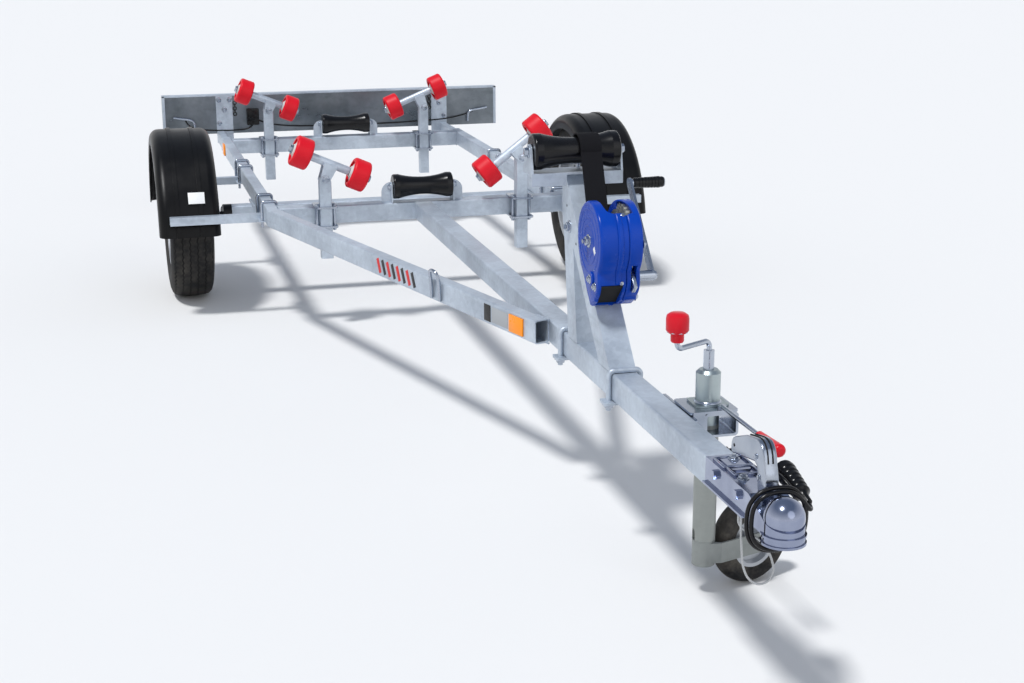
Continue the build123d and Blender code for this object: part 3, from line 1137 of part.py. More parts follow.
# ---------------------------------------------------------------- light board on its carriers
BOARD_FACE_Y = back(BOARD_Y)
CARRIER_MID_Z = FRAME_BOTTOM + WALL + SEAT + CARRIER_HEIGHT / 2
with BuildPart() as carriers:
    for side in SIDES.values():
        with BuildSketch(Plane.XZ.offset(-back(RAIL_REAR - CARRIER_INSIDE))):
            with Locations((side * RAIL_MID_X, CARRIER_MID_Z)):
                tube_section(CARRIER_WIDTH, CARRIER_HEIGHT, wall=CARRIER_WALL, corner=4.0)
        extrude(amount=-(BOARD_FACE_Y - BOARD_PLATE - back(RAIL_REAR - CARRIER_INSIDE)))
        with BuildSketch(Plane.XZ.offset(-BOARD_FACE_Y + BOARD_PLATE)):
            with Locations((side * (BOARD_PLATE_IN + BOARD_PLATE_OUT) / 2, (FRAME_BOTTOM + BOARD_HIGH) / 2)):
                Rectangle(BOARD_PLATE_OUT - BOARD_PLATE_IN, BOARD_HIGH - FRAME_BOTTOM)
        extrude(amount=-BOARD_PLATE)
save(carriers, "carriers")

BOARD_MID_Z = (BOARD_LOW + BOARD_HIGH) / 2
with BuildPart() as light_board:
    with BuildSketch(Plane.XZ.offset(-BOARD_FACE_Y)):
        with Locations((0, BOARD_MID_Z)):
            Rectangle(2 * BOARD_HALF, BOARD_HIGH - BOARD_LOW)
    extrude(amount=-BOARD_DEPTH)
    with BuildSketch(Plane.XZ.offset(-BOARD_FACE_Y - SHEET)):
        with Locations((0, BOARD_MID_Z)):
            Rectangle(2 * BOARD_HALF - 2 * SHEET, BOARD_HIGH - BOARD_LOW - 2 * SHEET)
    extrude(amount=-BOARD_DEPTH, mode=Mode.SUBTRACT)
save(light_board, "light_board")

LAMP_LENGTH = 230.0
LAMP_HEIGHT = 110.0
with BuildPart() as lamps:
    for side in SIDES.values():
        lamp_x = side * (BOARD_HALF - 20 - LAMP_LENGTH / 2)
        with BuildSketch(Plane.XZ.offset(-BOARD_FACE_Y - SHEET)):
            with Locations((lamp_x, BOARD_MID_Z)):
                RectangleRounded(LAMP_LENGTH, LAMP_HEIGHT, 14)
        extrude(amount=-(back(REAR_REACH) - BOARD_FACE_Y - SHEET))
save(lamps, "lamps")

# ---------------------------------------------------------------- cords at the coupling
COIL_FRONT_Y = BALL_Y + 17.0
COIL_REAR_Y = COIL_FRONT_Y + COIL_THICK
COIL_Z = BALL_Z + sqrt(DOME_R**2 - (COIL_FRONT_Y - BALL_Y) ** 2) + SEAT - COIL_INNER[1] / 2
COIL_CORNER_R = (COIL_OUTER[2] + COIL_INNER[2]) / 2
with BuildPart() as cable_coil:
    with BuildSketch(Plane.XZ.offset(-COIL_REAR_Y)):
        with Locations((COIL_X, COIL_Z)):
            RectangleRounded(*COIL_OUTER)
            RectangleRounded(*COIL_INNER, mode=Mode.SUBTRACT)
    extrude(amount=COIL_THICK)
save(cable_coil, "cable_coil")

CABLE_START = Vector(DRAWBAR_WIDTH / 2 + 7, BALL_Y + GROMMET_BACK, FRAME_MID_Z + 14)
CABLE_DIR = Vector(0.52, -0.80, 0.30).normalized()
with BuildPart() as cable_grommet:
    with BuildSketch(Plane(origin=CABLE_START, z_dir=-CABLE_DIR)):
        Circle(2 * CABLE_R)
    extrude(amount=8 * CABLE_R)
    split(bisect_by=Plane.YZ.offset(DRAWBAR_WIDTH / 2 + SEAT), keep=Keep.TOP)
save(cable_grommet, "cable_grommet")

# middle of the coil's section at its upper corner, where the cable joins it
CORNER_REACH = COIL_CORNER_R * sqrt(0.5)
CABLE_END_X = COIL_X + (COIL_OUTER[0] + COIL_INNER[0]) / 4 - COIL_CORNER_R + CORNER_REACH
CABLE_END_Z = COIL_Z + (COIL_OUTER[1] + COIL_INNER[1]) / 4 - COIL_CORNER_R + CORNER_REACH
CABLE_ROUTE = (
    tuple(CABLE_START),
    tuple(CABLE_START + CABLE_DIR * 26),
    (57, CABLE_START.Y - 50, 410),
    (55, CABLE_START.Y - 84, 417),
    (46, CABLE_START.Y - 126, 424),
    (36, CABLE_START.Y - 178, 429),
    (29, CABLE_START.Y - 228, 436),
    (27, CABLE_START.Y - 270, 440),
    (CABLE_END_X, COIL_REAR_Y + 24, CABLE_END_Z),
    (CABLE_END_X, COIL_REAR_Y, CABLE_END_Z),
)
cord(CABLE_ROUTE, CABLE_R, "cable_tube")

PLUG_FOOT = Vector(COIL_X + (COIL_OUTER[0] + COIL_INNER[0]) / 4, COIL_REAR_Y, COIL_Z)
PLUG_DIR = Vector(0.46, 0.80, 0.385).normalized()
with BuildPart() as cable_plug:
    with BuildSketch(Plane(origin=PLUG_FOOT + Vector(0, SEAT, 0), z_dir=(0, 1, 0))):
        Circle(1.5 * CABLE_R)
    with BuildSketch(Plane(origin=PLUG_FOOT + PLUG_DIR * PLUG_TAIL, z_dir=PLUG_DIR)):
        Circle(3 * CABLE_R)
    loft()
    # ribbed body that widens towards its face
    for step in range(5):
        rib_start = PLUG_FOOT + PLUG_DIR * (PLUG_TAIL + step * PLUG_LENGTH / 5)
        with BuildSketch(Plane(origin=rib_start, z_dir=PLUG_DIR)):
            Circle(PLUG_R - 4 + step)
        extrude(amount=PLUG_LENGTH / 5 - 2)
        with BuildSketch(Plane(origin=rib_start, z_dir=PLUG_DIR)):
            Circle(PLUG_R - 7 + step)
        extrude(amount=PLUG_LENGTH / 5)
save(cable_plug, "cable_plug")

WIRE_Y = SHOULDER_Y + 7
WIRE_ROUTE = (
    (-38, WIRE_Y, HEAD_BOTTOM),
    (-38, WIRE_Y, 342),
    (-40, WIRE_Y - 11, 314),
    (-42, WIRE_Y - 22, 285),
    (-35, WIRE_Y - 30, 262),
    (-17, WIRE_Y - 34, 249),
    (4, WIRE_Y - 33, 253),
    (16, WIRE_Y - 28, 272),
    (12, WIRE_Y - 18, 298),
    (-4, WIRE_Y - 6, 322),
    (-24, WIRE_Y + 4, 334),
    (-38, WIRE_Y + 12, 348),
    (-38, WIRE_Y + 12, HEAD_BOTTOM),
)
cord(WIRE_ROUTE, WIRE_R, "safety_wire")
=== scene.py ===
"""Dress the boat trailer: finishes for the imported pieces, then hardware, marks, cords and light."""
import json
import logging
import math
from dataclasses import dataclass, field
from enum import Enum
from typing import Any, Callable, Iterable, Sequence, Union

import bmesh
import bpy
from mathutils import Matrix, Vector


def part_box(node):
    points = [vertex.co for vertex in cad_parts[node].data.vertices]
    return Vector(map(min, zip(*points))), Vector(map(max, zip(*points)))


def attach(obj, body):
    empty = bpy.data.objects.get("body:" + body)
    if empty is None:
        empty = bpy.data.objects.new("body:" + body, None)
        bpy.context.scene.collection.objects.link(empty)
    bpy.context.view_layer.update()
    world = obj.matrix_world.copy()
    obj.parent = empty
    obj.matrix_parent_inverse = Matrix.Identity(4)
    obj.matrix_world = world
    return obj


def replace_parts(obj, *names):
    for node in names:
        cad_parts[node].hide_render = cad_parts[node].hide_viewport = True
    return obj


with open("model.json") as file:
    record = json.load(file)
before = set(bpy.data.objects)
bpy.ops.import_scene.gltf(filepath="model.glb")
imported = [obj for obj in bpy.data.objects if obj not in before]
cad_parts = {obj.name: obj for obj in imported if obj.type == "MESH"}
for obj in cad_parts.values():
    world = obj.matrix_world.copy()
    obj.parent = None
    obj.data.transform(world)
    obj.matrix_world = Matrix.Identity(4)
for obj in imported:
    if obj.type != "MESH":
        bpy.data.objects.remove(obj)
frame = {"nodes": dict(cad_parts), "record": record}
log = logging.getLogger("boat_trailer")
Number = Union[int, float]
Pair = tuple[float, float]
Place = tuple[float, float, float]
Colour = tuple[float, float, float]
Piece = bpy.types.Object
FaceTest = Callable[[Any], bool]

SIDES = {"left": 1, "right": -1}
LEFT, RIGHT = (1, 0, 0), (-1, 0, 0)
UP, DOWN = (0, 0, 1), (0, 0, -1)
AHEAD = (0, -1, 0)

AXLE_Y = 1.069            # wheel axle, behind the frame's origin
BALL_Y = -2.5415          # centre of the coupling's ball socket
TRACK_X = 0.765           # centre line to the middle of a tyre
TYRE_RADIUS = 0.289
FRAME_TOP = 0.412
FRAME_BOTTOM = 0.352
FRAME_MIDDLE = (FRAME_TOP + FRAME_BOTTOM) / 2
RAIL_X = 0.4945           # centre line to the middle of a rail's face and of a board bracket


# ---------------------------------------------------------------- shader maths
class Term:
    """One value of a finish's node tree, so that its maths reads as Python expressions."""

    def __init__(self, sheet: "ShaderSheet", socket: Any) -> None:
        """Keep the socket and the sheet that it belongs to."""
        self.sheet = sheet
        self.socket = socket

    def __add__(self, other: Any) -> "Term":
        """Sum of two values."""
        return self.sheet.maths("ADD", self, other)

    def __sub__(self, other: Any) -> "Term":
        """Difference of two values."""
        return self.sheet.maths("SUBTRACT", self, other)

    def __rsub__(self, other: Any) -> "Term":
        """Difference with the plain value first, as in 1 - mask."""
        return self.sheet.maths("SUBTRACT", other, self)

    def __mul__(self, other: Any) -> "Term":
        """Product of two values."""
        return self.sheet.maths("MULTIPLY", self, other)

    __radd__ = __add__
    __rmul__ = __mul__

    def fract(self) -> "Term":
        """Part after the decimal point."""
        return self.sheet.maths("FRACT", self)

    def size(self) -> "Term":
        """Value without its sign."""
        return self.sheet.maths("ABSOLUTE", self)

    def above(self, limit: Number) -> "Term":
        """One where the value is above the limit, otherwise zero."""
        return self.sheet.maths("GREATER_THAN", self, limit)

    def below(self, limit: Number) -> "Term":
        """One where the value is below the limit, otherwise zero."""
        return self.sheet.maths("LESS_THAN", self, limit)


class ShaderSheet:
    """Node tree of a material or of the surroundings, around its one shader."""

    def __init__(self, owner: Any, kind: str = "BSDF_PRINCIPLED") -> None:
        """Open the node tree of its owner.

        Args:
            owner: New material or world.
            kind: Type of its shader node.
        """
        owner.use_nodes = True
        self.owner = owner
        self.tree = owner.node_tree
        self.shader = next(n for n in self.tree.nodes if n.type == kind)

    def node(self, kind: str, inputs: dict[Any, Any], output: Any = 0, **settings: Any) -> Term:
        """Add a node, set it, feed its inputs and give back one output.

        Args:
            kind: Blender's name of the node type.
            inputs: Values or terms by socket name or index.
            output: Name or index of the output wanted.
            **settings: Properties of the node.

        Returns:
            The output as a term.
        """
        node = self.tree.nodes.new(kind)
        for key, value in settings.items():
            setattr(node, key, value)
        for key, value in inputs.items():
            self.feed(node.inputs[key], value)
        return Term(self, node.outputs[output])

    def feed(self, socket: Any, value: Any) -> None:
        """Link a term to a socket, or write a plain value on it.

        Args:
            socket: Input socket.
            value: Term, number, vector or colour.
        """
        if isinstance(value, Term):
            self.tree.links.new(value.socket, socket)
        elif isinstance(value, tuple) and socket.type == "RGBA":
            socket.default_value = (*value, 1.0)
        else:
            socket.default_value = value

    def maths(self, operation: str, *values: Any) -> Term:
        """One Math node over the given values."""
        return self.node("ShaderNodeMath", dict(enumerate(values)), operation=operation)

    def place(self) -> Term:
        """Object coordinates of the shaded point."""
        return self.node("ShaderNodeTexCoord", {}, output="Object")

    def axes(self) -> tuple[Term, Term, Term]:
        """X, Y and Z of the shaded point."""
        split = self.node("ShaderNodeSeparateXYZ", {"Vector": self.place()}).socket.node
        return tuple(Term(self, split.outputs[i]) for i in range(3))

    def noise(self, scale: Number, detail: Number = 3, rough: Number = 0.55,
              stretch: Place = (1, 1, 1)) -> Term:
        """Cloudy value from 0 to 1.

        Args:
            scale: Clouds per metre.
            detail: Number of finer layers.
            rough: Weight of each finer layer.
            stretch: Factor on the scale along X, Y and Z.

        Returns:
            The value's socket.
        """
        mapped = self.node("ShaderNodeMapping", {"Vector": self.place(), "Scale": stretch})
        inputs = {"Vector": mapped, "Scale": scale, "Detail": detail, "Roughness": rough}
        return self.node("ShaderNodeTexNoise", inputs)

    def cells(self, scale: Number) -> Term:
        """Random value per crystal of a spangled surface.

        Args:
            scale: Crystals per metre.

        Returns:
            The value's socket.
        """
        inputs = {"Vector": self.place(), "Scale": scale}
        crystal = self.node("ShaderNodeTexVoronoi", inputs, "Color")
        return self.node("ShaderNodeSeparateXYZ", {"Vector": crystal})

    def ramp(self, value: Term, low: Number, high: Number, start: Number = 0.0,
             end: Number = 1.0) -> Term:
        """Value moved from low..high to start..end, held at the ends."""
        return self.node("ShaderNodeMapRange", {0: value, 1: low, 2: high, 3: start, 4: end})

    def mix(self, factor: Any, first: Any, second: Any) -> Term:
        """Colour between the first and the second."""
        inputs = {0: factor, 6: first, 7: second}
        return self.node("ShaderNodeMix", inputs, output=2, data_type="RGBA")

    def bump(self, height: Term, depth: Number, strength: Number = 0.6) -> Term:
        """Surface relief of the given depth in metres."""
        inputs = {"Height": height, "Distance": depth, "Strength": strength}
        return self.node("ShaderNodeBump", inputs)

    def dress(self, **values: Any) -> Any:
        """Feed the shader's inputs.

        Args:
            **values: Terms or plain values by the input's name, with _ for each space.

        Returns:
            The material or world.
        """
        for name, value in values.items():
            self.feed(self.shader.inputs[name.replace("_", " ")], value)
        return self.owner


# ---------------------------------------------------------------- finishes
@dataclass(frozen=True)
class Finish:
    """Look of one surface, made into a material at its first use."""

    name: str

    def material(self) -> bpy.types.Material:
        """Material with the inputs that this kind of finish works out."""
        sheet = ShaderSheet(bpy.data.materials.new(self.name))
        return sheet.dress(**self.inputs(sheet))

    def inputs(self, sheet: ShaderSheet) -> dict[str, Any]:
        """Shader inputs by name, given by each kind of finish."""
        raise NotImplementedError


@dataclass(frozen=True)
class Galvanised(Finish):
    """Hot-dip or bright zinc: crystals, soft clouds and run marks, weathered below a height."""

    light: Colour
    dark: Colour
    metallic: float = 0.8
    rough: Pair = (0.34, 0.56)
    crystal: float = 90.0
    crystal_share: float = 0.22
    relief: float = 0.0002
    dull_below: float = -1.0
    run_share: float = 0.35
    run_tone: float = 0.66
    weather_share: float = 0.8
    weather_metallic: float = 0.45
    weather_dark: Colour = (0.17, 0.18, 0.165)
    weather_light: Colour = (0.36, 0.37, 0.34)

    def inputs(self, sheet: ShaderSheet) -> dict[str, Any]:
        """Shader inputs of the zinc.

        Args:
            sheet: Sheet that the nodes are added to.

        Returns:
            Terms by the input's name.
        """
        clouds = sheet.noise(6.0, 5, 0.6)
        streaks = sheet.noise(9.0, 4, 0.6, (1.0, 0.25, 3.0))
        crystals = sheet.cells(self.crystal) * self.crystal_share
        tone = sheet.ramp(clouds, 0.3, 0.7) * (1 - self.crystal_share) + crystals
        runs = sheet.ramp(streaks, 0.56, 0.76, 0.0, self.run_share)
        stained = sheet.mix(runs, sheet.mix(tone, self.dark, self.light),
                            tuple(part * self.run_tone for part in self.dark))
        weathered = sheet.axes()[2].below(self.dull_below)
        dull = sheet.mix(clouds, self.weather_dark, self.weather_light)
        rough = clouds + streaks * 0.5 + weathered * 0.5
        return dict(
            Base_Color=sheet.mix(weathered * self.weather_share, stained, dull),
            Metallic=sheet.ramp(weathered, 0.0, 1.0, self.metallic, self.weather_metallic),
            Roughness=sheet.ramp(rough, 0.5, 1.0, *self.rough),
            Normal=sheet.bump(sheet.noise(60.0, 3), self.relief),
        )


@dataclass(frozen=True)
class Moulded(Finish):
    """Rubber, plastic or paint in one colour, with a fine grain and a little dust."""

    colour: Colour
    rough: float = 0.45
    grain: float = 350.0
    relief: float = 0.00008
    dust: float = 0.12
    dust_colour: Colour = (0.34, 0.31, 0.27)
    coat: float = 0.0
    shine: float = 0.25

    def inputs(self, sheet: ShaderSheet) -> dict[str, Any]:
        """Shader inputs of the moulding.

        Args:
            sheet: Sheet that the nodes are added to.

        Returns:
            Terms and values by the input's name.
        """
        cloud = sheet.noise(11.0, 5, 0.65)
        share = sheet.ramp(cloud, 0.42, 0.78, 0.0, self.dust)
        return dict(
            Base_Color=sheet.mix(share, self.colour, self.dust_colour),
            Specular_IOR_Level=self.shine,
            Roughness=sheet.ramp(cloud, 0.3, 0.75, self.rough - 0.05, self.rough + 0.1),
            Coat_Weight=self.coat,
            Normal=sheet.bump(sheet.noise(self.grain, 2), self.relief),
        )


@dataclass(frozen=True)
class TyreRubber(Finish):
    """Tyre rubber with sipes across the tread, painted shade in the sipes, and dust on the side
    walls.
    """

    axle: Pair
    tread_from: float
    track: float = 0.0
    pitches: int = 76
    lanes: float = 38.0
    zigzag: float = 0.009
    sipe_width: float = 0.085
    rings: float = 190.0
    ring_gap: float = 0.012
    dust: float = 0.34
    rubber: Colour = (0.009, 0.009, 0.010)
    dusty: Colour = (0.15, 0.135, 0.115)
    # painted shade: colour of the sipes, darker than the rubber
    groove: Colour = (0.004, 0.004, 0.004)

    def inputs(self, sheet: ShaderSheet) -> dict[str, Any]:
        """Shader inputs of the tyre.

        Args:
            sheet: Sheet that the nodes are added to.

        Returns:
            Terms and values by the input's name.
        """
        x, y, z = sheet.axes()
        y, z = y - self.axle[0], z - self.axle[1]
        radius = sheet.maths("SQRT", y * y + z * z)
        angle = sheet.maths("ARCTAN2", z, y)
        zigzag = ((angle * (self.pitches / math.tau)).fract() - 0.5).size() * self.zigzag
        lane = (((x.size() - self.track + zigzag) * self.lanes).fract() - 0.5).size()
        sipe = lane.below(self.sipe_width) * radius.above(self.tread_from)
        wall = radius.below(self.tread_from - self.ring_gap)
        ring = (radius * self.rings).fract().below(0.22) * wall
        dust = sheet.ramp(sheet.noise(14.0, 5, 0.65), 0.42, 0.72, 0.0, self.dust)
        return dict(
            # the sipes take the dark groove colour as painted shade
            Base_Color=sheet.mix(sipe, sheet.mix(dust, self.rubber, self.dusty), self.groove),
            Specular_IOR_Level=0.2,
            Roughness=sheet.ramp(dust, 0.0, 0.4, 0.62, 0.85),
            Normal=sheet.bump(sipe * -1.0 + ring * 0.12, 0.003, 0.9),
        )


@dataclass(frozen=True)
class Webbing(Finish):
    """Woven strap with ribs across it and threads along it."""

    thread: Colour = (0.003, 0.003, 0.004)
    rib: Colour = (0.009, 0.009, 0.012)
    ribs: float = 420.0
    threads: float = 600.0

    def inputs(self, sheet: ShaderSheet) -> dict[str, Any]:
        """Shader inputs of the strap.

        Args:
            sheet: Sheet that the nodes are added to.

        Returns:
            Terms and values by the input's name.
        """
        x, y, z = sheet.axes()
        across = ((z + y) * self.ribs).fract().above(0.5)
        weave = across * 0.6 + (x * self.threads).fract().above(0.5) * 0.4
        return dict(
            Base_Color=sheet.mix(weave, self.thread, self.rib),
            Specular_IOR_Level=0.15,
            Roughness=sheet.ramp(weave, 0.0, 1.0, 0.7, 0.9),
            Normal=sheet.bump(weave, 0.0006),
        )


@dataclass(frozen=True)
class Strands(Finish):
    """Twisted steel wire, with painted shade in the grooves between its strands."""

    # painted shade: the grooves between strands are coloured darker than the strands
    groove: Colour = (0.30, 0.31, 0.32)
    strand: Colour = (0.60, 0.61, 0.62)
    twists: float = 330.0

    def inputs(self, sheet: ShaderSheet) -> dict[str, Any]:
        """Shader inputs of the wire.

        Args:
            sheet: Sheet that the nodes are added to.

        Returns:
            Terms and values by the input's name.
        """
        x, y, z = sheet.axes()
        twist = ((x + y * 0.6 + z) * self.twists).fract()
        return dict(
            # painted shade: each twist runs from the dark groove colour to the strand colour
            Base_Color=sheet.mix(twist, self.groove, self.strand),
            Metallic=0.9,
            Roughness=sheet.ramp(twist, 0.0, 1.0, 0.3, 0.5),
            Normal=sheet.bump(twist, 0.0008),
        )


class Slot(Enum):
    """Finish of each material slot in the record."""

    galvanised_steel = Galvanised("galvanised_steel", (0.60, 0.67, 0.75), (0.34, 0.39, 0.46), 0.5)
    zinc_plate = Galvanised(
        "zinc_plate", (0.52, 0.56, 0.63), (0.26, 0.30, 0.37), 1.0, (0.16, 0.3), 40.0, 0.08)
    black_paint = Moulded("black_paint", (0.008, 0.008, 0.009), 0.35, dust=0.03)
    guard_plastic = Moulded(
        "guard_plastic", (0.0025, 0.0025, 0.003), 0.34, 700.0, 0.00005, 0.006, shine=0.2)
    tyre_rubber = TyreRubber("tyre_rubber", (AXLE_Y, TYRE_RADIUS), 0.272, TRACK_X)
    wheel_paint = Galvanised(
        "wheel_paint", (0.50, 0.52, 0.55), (0.34, 0.36, 0.39), 0.6, (0.35, 0.5), 200.0, 0.05)
    black_rubber = Moulded(
        "black_rubber", (0.003, 0.003, 0.004), 0.22, 300.0, 0.00004, 0.008, shine=0.3)
    red_rubber = Moulded(
        "red_rubber", (0.66, 0.004, 0.016), 0.42, 200.0, 0.00012, 0.04, (0.45, 0.1, 0.1))
    blue_plastic = Moulded(
        "blue_plastic", (0.001, 0.044, 0.36), 0.24, 500.0, 0.00006, 0.0, (0.05, 0.15, 0.5),
        shine=0.2)
    steel_wire = Strands("steel_wire")
    webbing = Webbing("webbing")
    red_plastic = Moulded(
        "red_plastic", (0.60, 0.004, 0.016), 0.3, 200.0, 0.00004, 0.02, (0.45, 0.1, 0.1))
    red_lens = Moulded("red_lens", (0.55, 0.01, 0.012), 0.12, 200.0, 0.00002, 0.0, coat=0.6)


class Extra(Enum):
    """Finish of single pieces that differ from their slot, and of what only the dressing adds."""

    amber = Moulded(
        "amber_reflector", (1.0, 0.30, 0.012), 0.3, 900.0, 0.0002, 0.04, (0.8, 0.5, 0.2))
    clear_lens = Moulded("clear_lens", (0.78, 0.78, 0.76), 0.15, 300.0, 0.00002, 0.0, coat=1.0)
    white_label = Moulded("white_label", (0.82, 0.83, 0.83), 0.5, 300.0, 0.00002, 0.15)
    grey_label = Moulded("grey_label", (0.36, 0.38, 0.40), 0.45, 300.0, 0.00002, 0.2)
    black_label = Moulded("black_label", (0.02, 0.02, 0.022), 0.45, 300.0, 0.00002, 0.1)
    red_stripe = Moulded("red_stripe", (0.62, 0.02, 0.02), 0.4, 300.0, 0.00002, 0.1)
    dull_zinc = Galvanised(
        "dull_zinc", (0.33, 0.35, 0.34), (0.20, 0.215, 0.21), 0.65, (0.42, 0.62), 70.0, 0.12)
    sleeve_zinc = Galvanised(
        "sleeve_zinc", (0.50, 0.56, 0.57), (0.28, 0.34, 0.35), 1.0, (0.18, 0.5), 40.0, 0.08,
        dull_below=0.375)
    bright_zinc = Galvanised(
        "bright_zinc", (0.44, 0.48, 0.60), (0.22, 0.25, 0.36), 1.0, (0.1, 0.2), 30.0, 0.04)
    gear_steel = Galvanised(
        "gear_steel", (0.40, 0.40, 0.37), (0.24, 0.24, 0.22), 0.9, (0.25, 0.4), 80.0, 0.05)
    board_sheet = Galvanised(
        "board_sheet", (0.28, 0.31, 0.34), (0.13, 0.15, 0.17), 0.9, (0.25, 0.4), 60.0, 0.1)
    hub_white = Moulded("hub_white", (0.62, 0.62, 0.60), 0.5, 300.0, 0.00003, 0.25)
    # painted shade: flat near-black for the dark inside of slots, holes and the case's mouth
    dark_gap = Moulded("dark_gap", (0.012, 0.012, 0.013), 0.8, 300.0, 0.00001, 0.0)
    small_tyre = TyreRubber("small_tyre", (-1.92, 0.095), 0.5, dust=0.75)


class Rack:
    """Materials made once and lent to every piece that needs them."""

    made: dict[str, bpy.types.Material] = {}

    @classmethod
    def lend(cls, finish: Enum) -> bpy.types.Material:
        """Material of a finish, built at its first use.

        Args:
            finish: Member of Slot or Extra.

        Returns:
            The material.
        """
        name = finish.value.name
        if name not in cls.made:
            cls.made[name] = finish.value.material()
        return cls.made[name]


# ---------------------------------------------------------------- modelling bench
def facing(place: Any, direction: Any, turn: float = 0.0) -> Matrix:
    """Matrix that stands a piece made along +Z at a place, facing a direction."""
    lean = Vector(direction).to_track_quat("Z", "Y").to_matrix().to_4x4()
    return Matrix.Translation(place) @ lean @ Matrix.Rotation(turn, 4, "Z")


def panel(origin: Place, along: Place, up: Place) -> Matrix:
    """Matrix of a flat face.

    Args:
        origin: Point of the face that X, Y and Z start from.
        along: Direction of X, in the face.
        up: Rough direction of Y, in the face.

    Returns:
        The matrix, with Z out of the face.
    """
    x = Vector(along).normalized()
    z = x.cross(Vector(up)).normalized()
    turn = Matrix((x, z.cross(x), z)).transposed().to_4x4()
    return Matrix.Translation(origin) @ turn


def ribs(count: int, foot: Pair, step: Pair, corners: Sequence[Pair]) -> list[Pair]:
    """Profile of like ribs along a turned piece.

    Args:
        count: Number of ribs.
        foot: Radius and height that the first rib starts from.
        step: What each rib adds to the radius and height of the one before.
        corners: Corners of one rib, out and up from its start.

    Returns:
        Radius and height of each corner.
    """
    return [(foot[0] + step[0] * rib + out, foot[1] + step[1] * rib + up)
            for rib in range(count) for out, up in corners]


